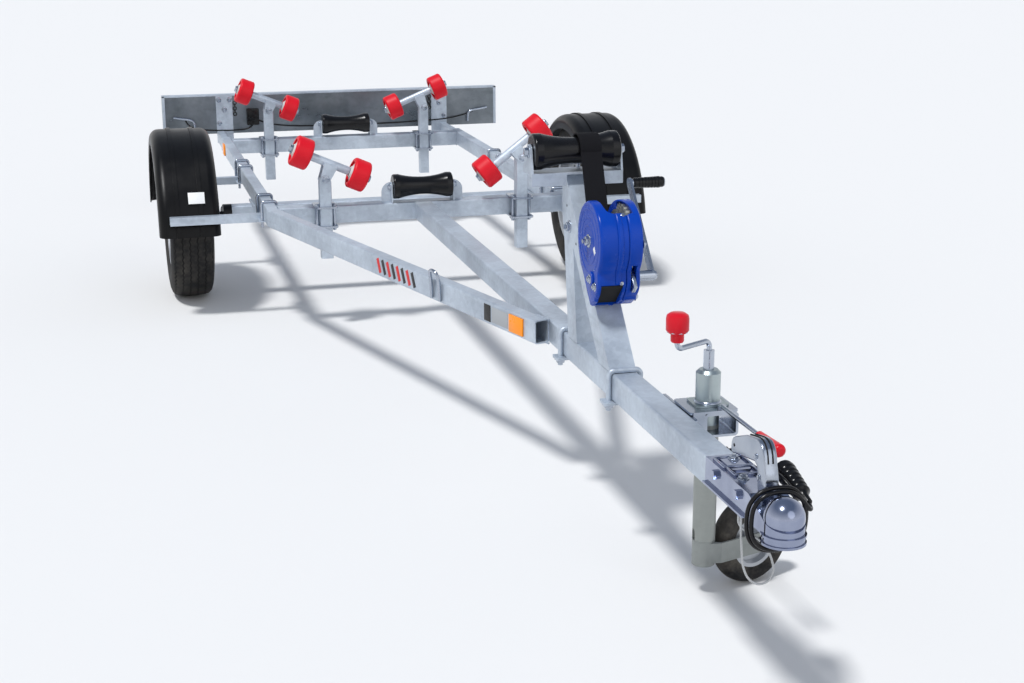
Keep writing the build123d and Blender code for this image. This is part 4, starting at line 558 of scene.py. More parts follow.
class Bench:
    """Models one small piece at a time with Blender's own operators."""

    @staticmethod
    def clear() -> None:
        """Leave edit mode and select nothing."""
        if bpy.context.object and bpy.context.object.mode != "OBJECT":
            bpy.ops.object.mode_set(mode="OBJECT")
        bpy.ops.object.select_all(action="DESELECT")

    @classmethod
    def take(cls, piece: Piece) -> None:
        """Select one piece alone and make it the active one.

        Args:
            piece: The piece.
        """
        cls.clear()
        bpy.context.view_layer.objects.active = piece
        piece.select_set(True)

    @staticmethod
    def pick(piece: Piece, test: FaceTest) -> None:
        """Go to edit mode with just those faces selected that pass the test.

        Args:
            piece: The active piece.
            test: Takes a face and says whether it is wanted.
        """
        bpy.ops.object.mode_set(mode="EDIT")
        bpy.ops.mesh.select_mode(type="FACE")
        bpy.ops.mesh.select_all(action="DESELECT")
        for face in bmesh.from_edit_mesh(piece.data).faces:
            face.select_set(test(face))
        bmesh.update_edit_mesh(piece.data)

    @classmethod
    def bevel(cls, piece: Piece, width: float, test: FaceTest, steps: int = 2) -> None:
        """Round the edges of some faces.

        Args:
            piece: The active piece.
            width: Width of the rounding, or 0 for none.
            test: Takes a face and says whether its edges are rounded.
            steps: Facets of the rounding.
        """
        if width > 0:
            cls.pick(piece, test)
            bpy.ops.mesh.bevel(offset=width, segments=steps, affect="EDGES")
            bpy.ops.object.mode_set(mode="OBJECT")

    @classmethod
    def block(cls, size: Place, centre: Place = (0, 0, 0), round_off: float = 0.0) -> Piece:
        """Box with rounded edges.

        Args:
            size: Its length along X, Y and Z.
            centre: Its middle.
            round_off: Width of the rounding.

        Returns:
            The new piece.
        """
        cls.clear()
        bpy.ops.mesh.primitive_cube_add(size=1, location=centre)
        piece = bpy.context.object
        piece.scale = size
        bpy.ops.object.transform_apply(location=True, rotation=True, scale=True)
        cls.bevel(piece, round_off, lambda face: True)
        return piece

    @classmethod
    def disc(cls, radius: float, height: float, round_off: float = 0.0, sides: int = 32) -> Piece:
        """Round or many-sided button that stands on the origin along +Z.

        Args:
            radius: Its radius, to the corners.
            height: Its height.
            round_off: Width of the rounding of its top edge.
            sides: Number of its sides.

        Returns:
            The new piece.
        """
        cls.clear()
        bpy.ops.mesh.primitive_cylinder_add(
            vertices=sides, radius=radius, depth=height, location=(0, 0, height / 2))
        piece = bpy.context.object
        bpy.ops.object.transform_apply(location=True, rotation=True, scale=True)
        cls.bevel(piece, round_off, lambda face: face.normal.z > 0.9)
        return piece

    @classmethod
    def hex_bolt(cls, radius: float, height: float, shank: float = 0.0) -> Piece:
        """Hexagon on a washer, with the threaded end of the shank where it has one.

        Args:
            radius: Corner radius of the hexagon.
            height: Height of the hexagon.
            shank: How far the threaded end stands proud.

        Returns:
            The new piece, standing on the origin along +Z.
        """
        edge, rim = radius * 0.12, radius * 0.3
        washer_radius, washer_height, washer_edge = radius * 1.35, height * 0.22, height * 0.05
        head = cls.disc(radius, height, edge, 6)
        if shank > 0:
            top = height - 1e-6
            cls.pick(head, lambda face: face.normal.z > 0.99 and face.calc_center_median().z > top)
            bpy.ops.mesh.inset(thickness=rim)
            bpy.ops.mesh.extrude_region_move(TRANSFORM_OT_translate={"value": (0, 0, shank)})
            bpy.ops.object.mode_set(mode="OBJECT")
        washer = cls.disc(washer_radius, washer_height, washer_edge, 24)
        return cls.join([head, washer])

    @classmethod
    def turned(cls, profile: Sequence[Pair], steps: int = 64, closed: bool = False) -> Piece:
        """Turn a profile round the Z axis.

        Args:
            profile: Radius and height of each corner, from one end to the other.
            steps: Number of facets round the axis.
            closed: Whether the last corner joins the first.

        Returns:
            The new piece, its faces pointing outwards.
        """
        cls.clear()
        bpy.ops.mesh.primitive_plane_add(size=0.01)
        piece = bpy.context.object
        bpy.ops.object.mode_set(mode="EDIT")
        bpy.ops.mesh.select_mode(type="VERT")
        mesh = bmesh.from_edit_mesh(piece.data)
        mesh.verts.ensure_lookup_table()
        bmesh.ops.delete(mesh, geom=mesh.verts[1:], context="VERTS")
        mesh.verts.ensure_lookup_table()
        mesh.verts[0].co = (profile[0][0], 0, profile[0][1])
        mesh.verts[0].select_set(True)
        bmesh.update_edit_mesh(piece.data)
        corners = list(profile[1:]) + ([profile[0]] if closed else [])
        for before, after in zip(profile, corners):
            step = (after[0] - before[0], 0, after[1] - before[1])
            bpy.ops.mesh.extrude_region_move(TRANSFORM_OT_translate={"value": step})
        bpy.ops.mesh.select_all(action="SELECT")
        bpy.ops.mesh.spin(steps=steps, angle=math.tau, center=(0, 0, 0), axis=(0, 0, 1))
        bpy.ops.mesh.select_all(action="SELECT")
        bpy.ops.mesh.remove_doubles(threshold=2e-5)
        bpy.ops.mesh.normals_make_consistent(inside=False)
        bpy.ops.object.mode_set(mode="OBJECT")
        return piece

    @classmethod
    def prism(cls, outline: Sequence[Pair], height: float, round_off: float = 0.0,
              steps: int = 3) -> Piece:
        """Flat outline drawn up along +Z, the edges of both ends rounded.

        Args:
            outline: X and Y of each corner, in order.
            height: Height of the prism, which stands on the origin's plane.
            round_off: Width of the rounding.
            steps: Facets of the rounding.

        Returns:
            The new piece.
        """
        cls.clear()
        bpy.ops.mesh.primitive_circle_add(vertices=len(outline), radius=0.01, fill_type="NGON")
        piece = bpy.context.object
        for vertex, corner in zip(piece.data.vertices, outline):
            vertex.co = (*corner, 0)
        bpy.ops.object.mode_set(mode="EDIT")
        bpy.ops.mesh.select_all(action="SELECT")
        bpy.ops.mesh.extrude_region_move(TRANSFORM_OT_translate={"value": (0, 0, height)})
        bpy.ops.mesh.select_all(action="SELECT")
        bpy.ops.mesh.normals_make_consistent(inside=False)
        bpy.ops.object.mode_set(mode="OBJECT")
        cls.bevel(piece, round_off, lambda face: abs(face.normal.z) > 0.9, steps)
        return piece

    @classmethod
    def cut(cls, piece: Piece, cutter: Piece) -> None:
        """Take a cutter's volume out of a piece.

        Args:
            piece: The piece that is cut.
            cutter: The tool, which is thrown away.
        """
        cls.take(piece)
        change = piece.modifiers.new("cut", "BOOLEAN")
        change.object = cutter
        change.solver = "EXACT"
        bpy.ops.object.modifier_apply(modifier=change.name)
        bpy.data.objects.remove(cutter, do_unlink=True)

    @staticmethod
    def rope(name: str, points: Sequence[Place], radius: float, sides: int, steps: int) -> Piece:
        """Round curve along smooth bends through the given points.

        Args:
            name: Name of the curve.
            points: Its control points.
            radius: Its radius.
            sides: Fineness of its round section.
            steps: Facets between two points.

        Returns:
            The new curve object.
        """
        curve = bpy.data.curves.new(name, "CURVE")
        curve.dimensions = "3D"
        curve.bevel_depth = radius
        curve.bevel_resolution = sides
        line = curve.splines.new("NURBS")
        line.points.add(len(points) - 1)
        for knot, point in zip(line.points, points):
            knot.co = (*point, 1.0)
        line.order_u = 3
        line.use_endpoint_u = True
        line.resolution_u = steps
        piece = bpy.data.objects.new(name, curve)
        bpy.context.scene.collection.objects.link(piece)
        return piece

    @classmethod
    def bent_bar(cls, points: Sequence[Place], radius: float, sides: int = 6) -> Piece:
        """Round bar with closed ends.

        Args:
            points: Control points of its smooth bends.
            radius: Its radius.
            sides: Fineness of its round section.

        Returns:
            The new piece.
        """
        piece = cls.rope("bar", points, radius, sides, 8)
        piece.data.use_fill_caps = True
        cls.take(piece)
        bpy.ops.object.convert(target="MESH")
        return bpy.context.object

    @staticmethod
    def put(piece: Piece, place: Matrix) -> Piece:
        """Move a piece's mesh into place."""
        piece.data.transform(place)
        return piece

    @classmethod
    def copy(cls, piece: Piece, place: Matrix) -> Piece:
        """Copy of a piece with its own mesh, moved into place.

        Args:
            piece: The pattern.
            place: Where the copy goes.

        Returns:
            The copy.
        """
        twin = bpy.data.objects.new(piece.name, piece.data.copy())
        bpy.context.scene.collection.objects.link(twin)
        return cls.put(twin, place)

    @classmethod
    def spread(cls, piece: Piece, places: Iterable[Matrix]) -> Piece:
        """Copies of a piece at several places.

        Args:
            piece: The pattern, which is thrown away.
            places: Where the copies go.

        Returns:
            The copies as one piece.
        """
        twins = [cls.copy(piece, place) for place in places]
        bpy.data.objects.remove(piece, do_unlink=True)
        return cls.join(twins)

    @classmethod
    def join(cls, pieces: Sequence[Piece]) -> Piece:
        """Make one piece of several.

        Args:
            pieces: The pieces.

        Returns:
            The first of them, with all the others in it.
        """
        cls.take(pieces[0])
        for piece in pieces:
            piece.select_set(True)
        if len(pieces) > 1:
            bpy.ops.object.join()
        return bpy.context.object

    @classmethod
    def fit(cls, piece: Piece, name: str, finish: Enum = Slot.zinc_plate, body: str = "chassis",
            smooth: float = 35.0) -> Piece:
        """Name a finished piece, give it its finish and fix it to its body.

        Args:
            piece: The modelled piece.
            name: Its plain name.
            finish: Its finish.
            body: The body that it moves with.
            smooth: Edges below this angle in degrees are shaded smooth.

        Returns:
            The same piece.
        """
        cls.take(piece)
        bpy.ops.object.transform_apply(location=True, rotation=True, scale=True)
        bpy.ops.object.shade_smooth_by_angle(angle=math.radians(smooth))
        piece.name = name
        piece.data.name = name
        piece.data.materials.clear()
        piece.data.materials.append(Rack.lend(finish))
        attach(piece, body)
        log.info("%s: %d faces, rides on %s", name, len(piece.data.polygons), body)
        return piece

    @classmethod
    def bolts(cls, name: str, sizes: Sequence[float], places: Iterable[Matrix],
              body: str = "chassis", finish: Enum = Slot.zinc_plate) -> None:
        """Like nuts or bolt heads at several places, as one fitted piece.

        Args:
            name: Plain name of the piece.
            sizes: Corner radius, height and, where it shows, the shank of each.
            places: Where they stand.
            body: The body that they move with.
            finish: Their finish.
        """
        cls.fit(cls.spread(cls.hex_bolt(*sizes), places), name, finish, body)


# ---------------------------------------------------------------- sub-assemblies
@dataclass
class PackedPieces:
    """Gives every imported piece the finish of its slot, with a few pieces set apart."""

    apart: dict[str, Enum] = field(default_factory=lambda: {
        "light_board": Extra.board_sheet,
        "jockey_sleeve": Extra.sleeve_zinc,
        "coupling_head": Extra.bright_zinc,
        "jockey_fork": Extra.dull_zinc,
        "jockey_stem": Extra.dull_zinc,
        "jockey_tyre": Extra.small_tyre,
    })

    def build(self) -> None:
        """Dress the nodes."""
        rows = frame["record"]["subparts"]
        for row in rows:
            node = frame["nodes"][row["node"]]
            finish = self.apart.get(row["node"], Slot[row["material_slot"]])
            node.data.materials.clear()
            node.data.materials.append(Rack.lend(finish))
        log.info("dressed %d packed pieces", len(rows))


@dataclass
class FrameMarks:
    """Marks, reflectors and lashing eyes on the drawbar arms and the rails, and the weld beads."""

    corner: Pair = (0.535, 0.475)            # rear end of the left arm's outer face
    angle: float = math.radians(15.52)       # between an arm and the centre line
    film: float = 0.0006
    bar_count: int = 8
    bar_from: float = 0.862
    bar_pitch: float = 0.0315
    bar_up: float = 0.002
    bar_size: Pair = (0.0155, 0.044)
    bar_slant: float = math.radians(24)
    plates: tuple[tuple[str, Enum, float, Pair], ...] = (
        ("black_plate", Extra.black_label, 1.505, (0.034, 0.044)),
        ("grey_plate", Extra.grey_label, 1.569, (0.082, 0.040)),
    )
    reflector_along: float = 1.654
    reflector_size: Pair = (0.068, 0.045)
    reflector_lift: float = 0.004
    rail_reflector: Place = (0.538, AXLE_Y + 1.03, FRAME_MIDDLE)
    rail_reflector_size: Place = (0.006, 0.070, 0.045)
    eye_along: Pair = (1.205, 1.252)
    eye_leg: tuple[Pair, ...] = ((-0.022, 0.006), (0.02, 0.006), (0.052, 0.012))   # up, out
    eye_top: Place = (1.228, 0.062, 0.016)
    eye_wire: float = 0.005
    nose_weld: tuple[Pair, Pair] = ((0.032, -1.20), (0.048, -1.145))
    cross_welds: tuple[float, ...] = (0.482, 0.539, 2.157, 2.215)
    weld_drop: float = 0.056
    weld_radii: Pair = (0.003, 0.0022)

    def outward(self, side: int) -> Matrix:
        """Outer face of an arm.

        Args:
            side: 1 for the left arm and -1 for the right one.

        Returns:
            Matrix with X forward along the arm, Y up and Z away from the trailer.
        """
        s, c = math.sin(self.angle), math.cos(self.angle)
        turn = Matrix(((-side * s, -c, 0), UP, (side * c, -s, 0))).transposed().to_4x4()
        return Matrix.Translation((side * self.corner[0], self.corner[1], FRAME_MIDDLE)) @ turn

    def patch(self, face: Matrix, along: float, up: float, size: Pair, lift: float,
              slant: float = 0.0) -> Piece:
        """Thin film or plate on a face.

        Args:
            face: Matrix of the face.
            along: Place of its middle along the face.
            up: Place of its middle up the face.
            size: Its length and height.
            lift: Its thickness.
            slant: Its turn in the face.

        Returns:
            The new piece.
        """
        piece = Bench.block((*size, lift), round_off=min(lift * 0.3, 0.001))
        place = Matrix.Translation((along, up, lift / 2)) @ Matrix.Rotation(slant, 4, "Z")
        return Bench.put(piece, face @ place)

    def films(self) -> None:
        """Slanted bars and blank plates on the right arm."""
        face = self.outward(-1)
        kinds = (("red_bars", Extra.red_stripe), ("black_bars", Extra.black_label))
        for first, (name, finish) in enumerate(kinds):
            bars = [self.patch(face, self.bar_from + i * self.bar_pitch, self.bar_up, self.bar_size,
                               self.film, self.bar_slant)
                    for i in range(first, self.bar_count, 2)]
            Bench.fit(Bench.join(bars), name, finish)
        for name, finish, along, size in self.plates:
            Bench.fit(self.patch(face, along, 0.0, size, self.film), name, finish)

    def fittings(self, name: str, side: int) -> None:
        """Reflectors and lashing eye of one side.

        Args:
            name: Name of the side.
            side: 1 for left and -1 for right.
        """
        arm = self.outward(side)
        x, y, z = self.rail_reflector
        reflectors = [
            self.patch(arm, self.reflector_along, 0.0, self.reflector_size, self.reflector_lift),
            Bench.block(self.rail_reflector_size, (side * x, y, z), 0.001),
        ]
        Bench.fit(Bench.join(reflectors), f"reflectors_{name}", Extra.amber)
        front, rear = self.eye_along
        points = [(front, *corner) for corner in self.eye_leg] + [self.eye_top]
        points += [(rear, *corner) for corner in reversed(self.eye_leg)]
        eye = Bench.bent_bar([arm @ Vector(point) for point in points], self.eye_wire)
        Bench.fit(eye, f"lashing_eye_{name}")

    def welds(self) -> None:
        """Weld beads where the arms and cross members meet the drawbar and the rails."""
        beads = []
        for side in SIDES.values():
            for z, drop in ((FRAME_TOP, self.weld_drop), (FRAME_BOTTOM, 0.0)):
                nose = [(side * x, y, z) for x, y in self.nose_weld]
                beads.append(Bench.bent_bar(nose, self.weld_radii[0], 3))
                for y in self.cross_welds:
                    ends = [(side * RAIL_X, y - 0.001, z - drop), (side * RAIL_X, y, z)]
                    beads.append(Bench.bent_bar(ends, self.weld_radii[1], 3))
        Bench.fit(Bench.join(beads), "weld_beads", Slot.galvanised_steel)

    def build(self) -> None:
        """Build all of it."""
        self.films()
        for name, side in SIDES.items():
            self.fittings(name, side)
        self.welds()


@dataclass
class Coupling:
    """Folded lever, frames and nuts on the coupling, and the cable wound round its nose."""

    cable_radius: float = 0.004
    nose_front: float = BALL_Y + 0.017
    coil_thick: float = 0.016
    coil_middle: Pair = (-0.001, 0.38303)
    coil_half: Pair = (0.0515, 0.0535)
    coil_corner: float = 0.044
    coil_start: float = math.radians(22)
    lane: float = 0.0041                     # how far a turn lies from the coil's middle
    route: tuple[Place, ...] = (
        (0.037, BALL_Y + 0.351, 0.396),
        (0.050521, BALL_Y + 0.330198, 0.403801),
        (0.057, BALL_Y + 0.301, 0.410),
        (0.055, BALL_Y + 0.267, 0.417),
        (0.046, BALL_Y + 0.225, 0.424),
        (0.036, BALL_Y + 0.173, 0.429),
        (0.029, BALL_Y + 0.123, 0.436),
        (0.027, BALL_Y + 0.081, 0.440),
        (0.0376, BALL_Y + 0.057, 0.4236),
        (0.0376, BALL_Y + 0.033, 0.4236),
    )
    tail: tuple[Place, ...] = (
        (0.0515, BALL_Y + 0.0200, 0.4035),
        (0.0590, BALL_Y + 0.0235, 0.3960),
        (0.0640, BALL_Y + 0.0320, 0.3960),
    )
    plug_foot: Place = (0.0640, BALL_Y + 0.0440, 0.4010)
    plug_way: Place = (-0.04, 1.0, 0.28)
    plug_neck: tuple[Pair, ...] = (
        (0.0, -0.002), (0.0062, -0.002), (0.0075, 0.000), (0.0085, 0.016), (0.0125, 0.024),
    )
    plug_rib: tuple[Pair, ...] = ((0.0, 0.0), (0.0016, 0.002), (0.0016, 0.0085), (0.0, 0.0105))
    plug_end: tuple[Pair, ...] = ((0.0190, 0.102), (0.0180, 0.105), (0.0, 0.105))
    lever_half: float = 0.013
    lever_edge: float = 0.003
    lever_outline: tuple[Pair, ...] = (      # behind the ball and up, from the rear foot round
        (0.207, 0.4445), (0.105, 0.4625), (0.0955, 0.4585), (0.0905, 0.436), (0.088, 0.4165),
        (0.0765, 0.4165), (0.0600, 0.4240), (0.0545, 0.4330), (0.0540, 0.4430), (0.0585, 0.4560),
        (0.0635, 0.4700), (0.0665, 0.4840), (0.0715, 0.4940), (0.0790, 0.5015), (0.0880, 0.5055),
        (0.0980, 0.5065), (0.1120, 0.5045), (0.1440, 0.4985), (0.1960, 0.4795), (0.2050, 0.4740),
        (0.2100, 0.4650), (0.2115, 0.4520),
    )
    brow: tuple[int, int] = (10, 18)         # corners of the outline that the slots follow
    slot_x: float = 0.0045
    slot_lift: float = 0.0006
    slot_radius: float = 0.0013
    lever_hole: Pair = (0.196, 0.463)
    hole_size: Pair = (0.0032, 0.0012)
    hole_sink: float = 0.0009
    lever_pins: tuple[Pair, ...] = ((0.098, 0.474), (0.082, 0.441))
    frames: tuple[Place, ...] = ((0.2055, 0.2550, 0.027), (0.1620, 0.2005, 0.024))
    frame_bar: Pair = (0.005, 0.0065)
    frame_z: float = 0.4180
    frame_lap: float = 0.004
    frame_round: float = 0.0018
    nuts: tuple[tuple[Place, float], ...] = (
        ((0.007, BALL_Y + 0.2435, 0.419), 0.0), ((-0.014, BALL_Y + 0.148, 0.416), 0.3),
    )
    nut_size: Place = (0.0085, 0.006, 0.003)
    pin_size: Pair = (0.0045, 0.003)

    def lever(self) -> None:
        """Hand lever folded from sheet, with painted shade for the two slots in its brow and for a
        hole in each side.
        """
        outline = [(BALL_Y + back, z) for back, z in self.lever_outline]
        lever = Bench.prism(outline, 2 * self.lever_half, self.lever_edge)
        Bench.put(lever, panel((-self.lever_half, 0, 0), (0, 1, 0), UP))
        Bench.fit(lever, "folded_lever")
        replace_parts(lever, "coupling_handle")
        # painted shade: thin dark bars along the brow stand in for its two slots
        slots = [
            Bench.bent_bar([(x, BALL_Y + back - self.slot_lift, z + self.slot_lift)
                            for back, z in self.lever_outline[slice(*self.brow)]],
                           self.slot_radius, 3)
            for x in (-self.slot_x, self.slot_x)
        ]
        # painted shade: dark discs sunk into each side stand in for its holes
        hole = Bench.disc(*self.hole_size)
        x, (back, z) = self.lever_half - self.hole_sink, self.lever_hole
        holes = [facing((side * x, BALL_Y + back, z), (side, 0, 0)) for side in SIDES.values()]
        dark = Bench.join([*slots, Bench.spread(hole, holes)])
        Bench.fit(dark, "lever_slot_shade", Extra.dark_gap)

    def stamping(self) -> None:
        """Two raised frames pressed into the head's top."""
        wide, high = self.frame_bar
        bars = []
        for front, rear, half in self.frames:
            middle = BALL_Y + (front + rear) / 2
            boxes = [((wide, rear - front, high), (x, middle, self.frame_z)) for x in (-half, half)]
            boxes += [((2 * half + self.frame_lap, wide, high), (0, BALL_Y + back, self.frame_z))
                      for back in (front, rear)]
            bars += [Bench.block(size, centre, self.frame_round) for size, centre in boxes]
        Bench.fit(Bench.join(bars), "head_frames", Extra.bright_zinc)

    def ring_point(self, angle: float, outward: float, behind: float) -> Place:
        """Point of a turn of the coil.

        Args:
            angle: Direction from the coil's middle, from +X towards +Z.
            outward: Distance outside the middle turn.
            behind: Distance behind the coil's middle plane.

        Returns:
            The point.
        """
        corner = self.coil_corner + outward
        x, z = (
            middle + (half - self.coil_corner) * math.tanh(6 * share) + corner * share
            for middle, half, share in zip(
                self.coil_middle, self.coil_half, (math.cos(angle), math.sin(angle)))
        )
        return x, self.nose_front + self.coil_thick / 2 + behind, z

    def coil_points(self, per_turn: int = 20) -> list[Place]:
        """Two turns that lie one before the other and cross over between them.

        Args:
            per_turn: Points of one turn.

        Returns:
            The points, in order.
        """
        rear, front = (self.lane, self.lane), (-0.3 * self.lane, -1.1 * self.lane)
        crossing = tuple((a + b) / 2 for a, b in zip(rear, front))
        lanes = [rear] * (per_turn - 1) + [crossing] + [front] * per_turn
        return [self.ring_point(self.coil_start - math.tau * (step % per_turn) / per_turn, *lane)
                for step, lane in enumerate(lanes)]

    def plug(self) -> Piece:
        """Ribbed round plug on the cable's end, which lies back beside the head.

        Returns:
            The plug.
        """
        profile = [*self.plug_neck, *ribs(6, (0.0150, 0.026), (0.0007, 0.0125), self.plug_rib),
                   *self.plug_end]
        plug = Bench.put(Bench.turned(profile, 48), facing(self.plug_foot, self.plug_way))
        Bench.fit(plug, "ribbed_plug", Slot.black_rubber)
        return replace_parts(plug, "cable_plug")

    def cable(self) -> None:
        """The free cable from the drawbar to its plug, its spare length wound round the nose."""
        plug = self.plug()
        Bench.clear()
        points = [*self.route, *self.coil_points(), *self.tail, self.plug_foot]
        cable = Bench.rope("coupling_cable", points, self.cable_radius, 5, 6)
        cable.data.materials.append(Rack.lend(Slot.black_rubber))
        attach(cable, "chassis")
        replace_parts(cable, "cable_tube", "cable_coil")

    def build(self) -> None:
        """Lever, stamped frames, nuts and cable."""
        self.lever()
        self.stamping()
        Bench.bolts("coupling_nuts", self.nut_size,
                    [facing(place, UP, turn) for place, turn in self.nuts])
        Bench.bolts("lever_pins", self.pin_size,
                    [facing((side * self.lever_half, BALL_Y + back, z), (side, 0, 0))
                     for side in SIDES.values() for back, z in self.lever_pins])
        self.cable()


@dataclass(frozen=True)
class Cut:
    """One opening in the winch's case: an outline seen from ahead, or a box across the case."""

    start: float
    end: float
    outline: tuple[Pair, ...] = ()
    centre: Pair = (0.0, 0.0)
    size: Pair = (0.0, 0.0)


@dataclass
class WinchPost:
    """The winch's case, gear ring, bolts, pawl and grip, and the nuts of the post's clamps."""

    foot: Pair = (-1.681, FRAME_TOP)         # Y and Z where the post's sloping face starts
    lean: float = math.atan2(0.384, 0.352)
    drum: Pair = (0.276, 0.100)              # up the face and off it
    lobe: Pair = (0.202, 0.061)
    drum_radius: float = 0.088
    lobe_radius: float = 0.048
    case_middle: Pair = (0.235, 0.070)
    case_back: tuple[Pair, ...] = ((0.160, 0.011), (0.276, 0.011), (0.276, 0.100), (0.154, 0.049))
    rim_steps: int = 120
    blend: int = 14
    cover_right: float = -0.046
    cover_left: float = 0.052
    slices: tuple[tuple[float, ...], ...] = (   # from x, to x, inset, rounding
        (-0.046, -0.003, 0.0, 0.006),
        (-0.006, 0.008, -0.0018, 0.0045),
        (0.006, 0.018, 0.001, 0.0),
        (0.016, 0.022, 0.005, 0.0),
        (0.020, 0.052, 0.0005, 0.005),
    )
    front_view: float = 29.8                 # degrees from up the face to the notch's outline
    cuts: tuple[Cut, ...] = (
        Cut(-0.130, 0.130, (             # notch round the gear ring
            (-0.031, 0.110), (-0.0285, 0.089), (-0.026, 0.081), (-0.025, 0.070),
            (-0.0225, 0.0625), (-0.017, 0.0575), (-0.009, 0.0550), (0.0190, 0.0550),
            (0.0190, 0.110))),
        Cut(0.005, 0.130, (              # window beside it
            (0.0150, 0.050), (0.0150, 0.080), (0.0210, 0.0835), (0.0270, 0.0815),
            (0.0320, 0.0745), (0.0350, 0.064), (0.0360, 0.0545), (0.0280, 0.0525),
            (0.0230, 0.050))),
        Cut(-0.038, 0.012, centre=(0.1485, 0.070), size=(0.034, 0.100)),   # mouth
        Cut(0.030, 0.042, centre=(0.176, 0.100), size=(0.052, 0.050)),     # slot of the pawl
    )
    gear_x: float = 0.0235
    gear_width: float = 0.012
    teeth: int = 36
    tooth_tip: float = 0.0815
    tooth_height: float = 0.0035
    hub_x: float = 0.0170
    hub_profile: tuple[Pair, ...] = (
        (0.0, 0.0), (0.060, 0.0), (0.060, 0.0015), (0.067, 0.0015), (0.067, 0.003),
        (0.073, 0.003), (0.073, 0.0045), (0.078, 0.0045), (0.078, 0.008), (0.0, 0.008),
    )
    post_holes: tuple[Pair, ...] = ((-1.3448, 0.7216), (-1.4188, 0.6452))
    post_bolt: Place = (-0.030, -1.3668, 0.6761)
    axle_nut: Place = (0.011, 0.009, 0.006)
    cover_bolt: Place = (0.0075, 0.005, 0.002)
    screw: Place = (0.0048, 0.0022, 0.001)
    crank_nut: Pair = (0.009, 0.007)
    # sizes and place of painted shade: dark discs for the post's holes and a thin dark sheet inside
    # the case's mouth
    hole_size: Pair = (0.0032, 0.0003)
    mouth_size: Place = (0.003, 0.070, 0.0495)
    mouth_place: Place = (0.1645, 0.055, 0.02475)
    mouth_x: float = -0.0378
    ring_radii: tuple[float, ...] = (0.070, 0.052, 0.034)
    ring_section: tuple[Pair, ...] = (
        (-0.002, -0.0002), (-0.001, 0.0006), (0.001, 0.0006), (0.002, -0.0002),
    )
    grip_ribs: int = 8
    grip_foot: tuple[Pair, ...] = ((0.0, 0.004), (0.0085, 0.004), (0.0115, 0.007))
    grip_rib: tuple[Pair, ...] = ((0.0012, 0.0), (0.0012, 0.005), (0.0, 0.0058), (0.0, 0.0072))
    grip_end: tuple[Pair, ...] = ((0.0125, 0.074), (0.0105, 0.0785), (0.0, 0.0795))
    clamp_nut: Pair = (0.0363, 0.3457)       # X and Z under the post's clamps
    clamp_inset: float = 0.020
    bow_inset: float = 0.008
    bow_pin: Pair = (-1.331, 0.848)          # Y and Z of the pins
    keel_pin: Pair = (0.110, 0.465)          # X and Z of the pins
    keel_rows: tuple[float, ...] = (0.5006, 2.176)
    post_nut: Pair = (0.0105, 0.010)

    def face(self, up: float, off: float, x: float) -> Place:
        """Point given up and off the post's sloping face."""
        c, s = math.cos(self.lean), math.sin(self.lean)
        return x, self.foot[0] + up * c - off * s, self.foot[1] + up * s + off * c

    def lying(self, x: float) -> Matrix:
        """Matrix that lays X up the post's sloping face, Y off it and Z across the trailer."""
        c, s = math.cos(self.lean), math.sin(self.lean)
        return panel(self.face(0, 0, x), (0, c, s), (0, -s, c))

    def away(self, degrees: float) -> Place:
        """Direction across the post's side, its angle counted from straight up the face."""
        angle = self.lean + math.radians(degrees)
        return 0.0, math.cos(angle), math.sin(angle)

    def round_drum(self, degrees: float, radius: float) -> Pair:
        """Up and off of a point round the drum's axle, its angle counted from up the face."""
        angle = math.radians(degrees)
        return self.drum[0] + radius * math.cos(angle), self.drum[1] + radius * math.sin(angle)

    def reach(self, ray: Vector) -> float:
        """Distance from the case's middle to its edge.

        Args:
            ray: Direction, up and off the face.

        Returns:
            The largest reach of drum, lobe and back, rounded off between them.
        """
        middle = Vector(self.case_middle)
        spans = []
        for centre, radius in ((self.drum, self.drum_radius), (self.lobe, self.lobe_radius)):
            offset = Vector(centre) - middle
            along = offset.dot(ray)
            spans.append(along + math.sqrt(radius**2 - offset.length_squared + along**2))
        back = [Vector(corner) for corner in self.case_back]
        walls = []
        for start, end in zip(back, back[1:] + back[:1]):
            normal = Vector((end.y - start.y, start.x - end.x))
            if ray.dot(normal) > 1e-6:
                walls.append((start - middle).dot(normal) / ray.dot(normal))
        spans.append(min(walls))
        return sum(span**self.blend for span in spans) ** (1 / self.blend)

    def rim(self, inset: float) -> list[Pair]:
        """Outline of the case, up and off the face.

        Args:
            inset: How far the outline stands inside the covers' edge.

        Returns:
            Its corners.
        """
        angles = [math.tau * step / self.rim_steps for step in range(self.rim_steps)]
        rays = [Vector((math.cos(angle), math.sin(angle))) for angle in angles]
        return [tuple(Vector(self.case_middle) + ray * (self.reach(ray) - inset)) for ray in rays]

    def cutter(self, cut: Cut) -> Piece:
        """Tool that takes one opening out of the case.

        Args:
            cut: The opening.

        Returns:
            The tool, in place.
        """
        depth = cut.end - cut.start
        if cut.outline:
            frontal = panel(self.face(*self.drum, 0), LEFT, self.away(self.front_view))
            place = frontal @ Matrix.Translation((0, 0, cut.start))
            return Bench.put(Bench.prism(cut.outline, depth), place)
        tool = Bench.block((*cut.size, depth), (*cut.centre, (cut.end + cut.start) / 2))
        return Bench.put(tool, self.lying(0.0))

    def case(self) -> None:
        """Moulded case in slices, with its notch, window, mouth and slot."""
        slices = []
        for low, high, inset, round_off in self.slices:
            part = Bench.prism(self.rim(inset), high - low, round_off, 4)
            Bench.put(part, self.lying(low))
            for cut in self.cuts:
                Bench.cut(part, self.cutter(cut))
            slices.append(part)
        case = Bench.fit(Bench.join(slices), "moulded_case", Slot.blue_plastic)
        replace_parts(case, "winch_case")

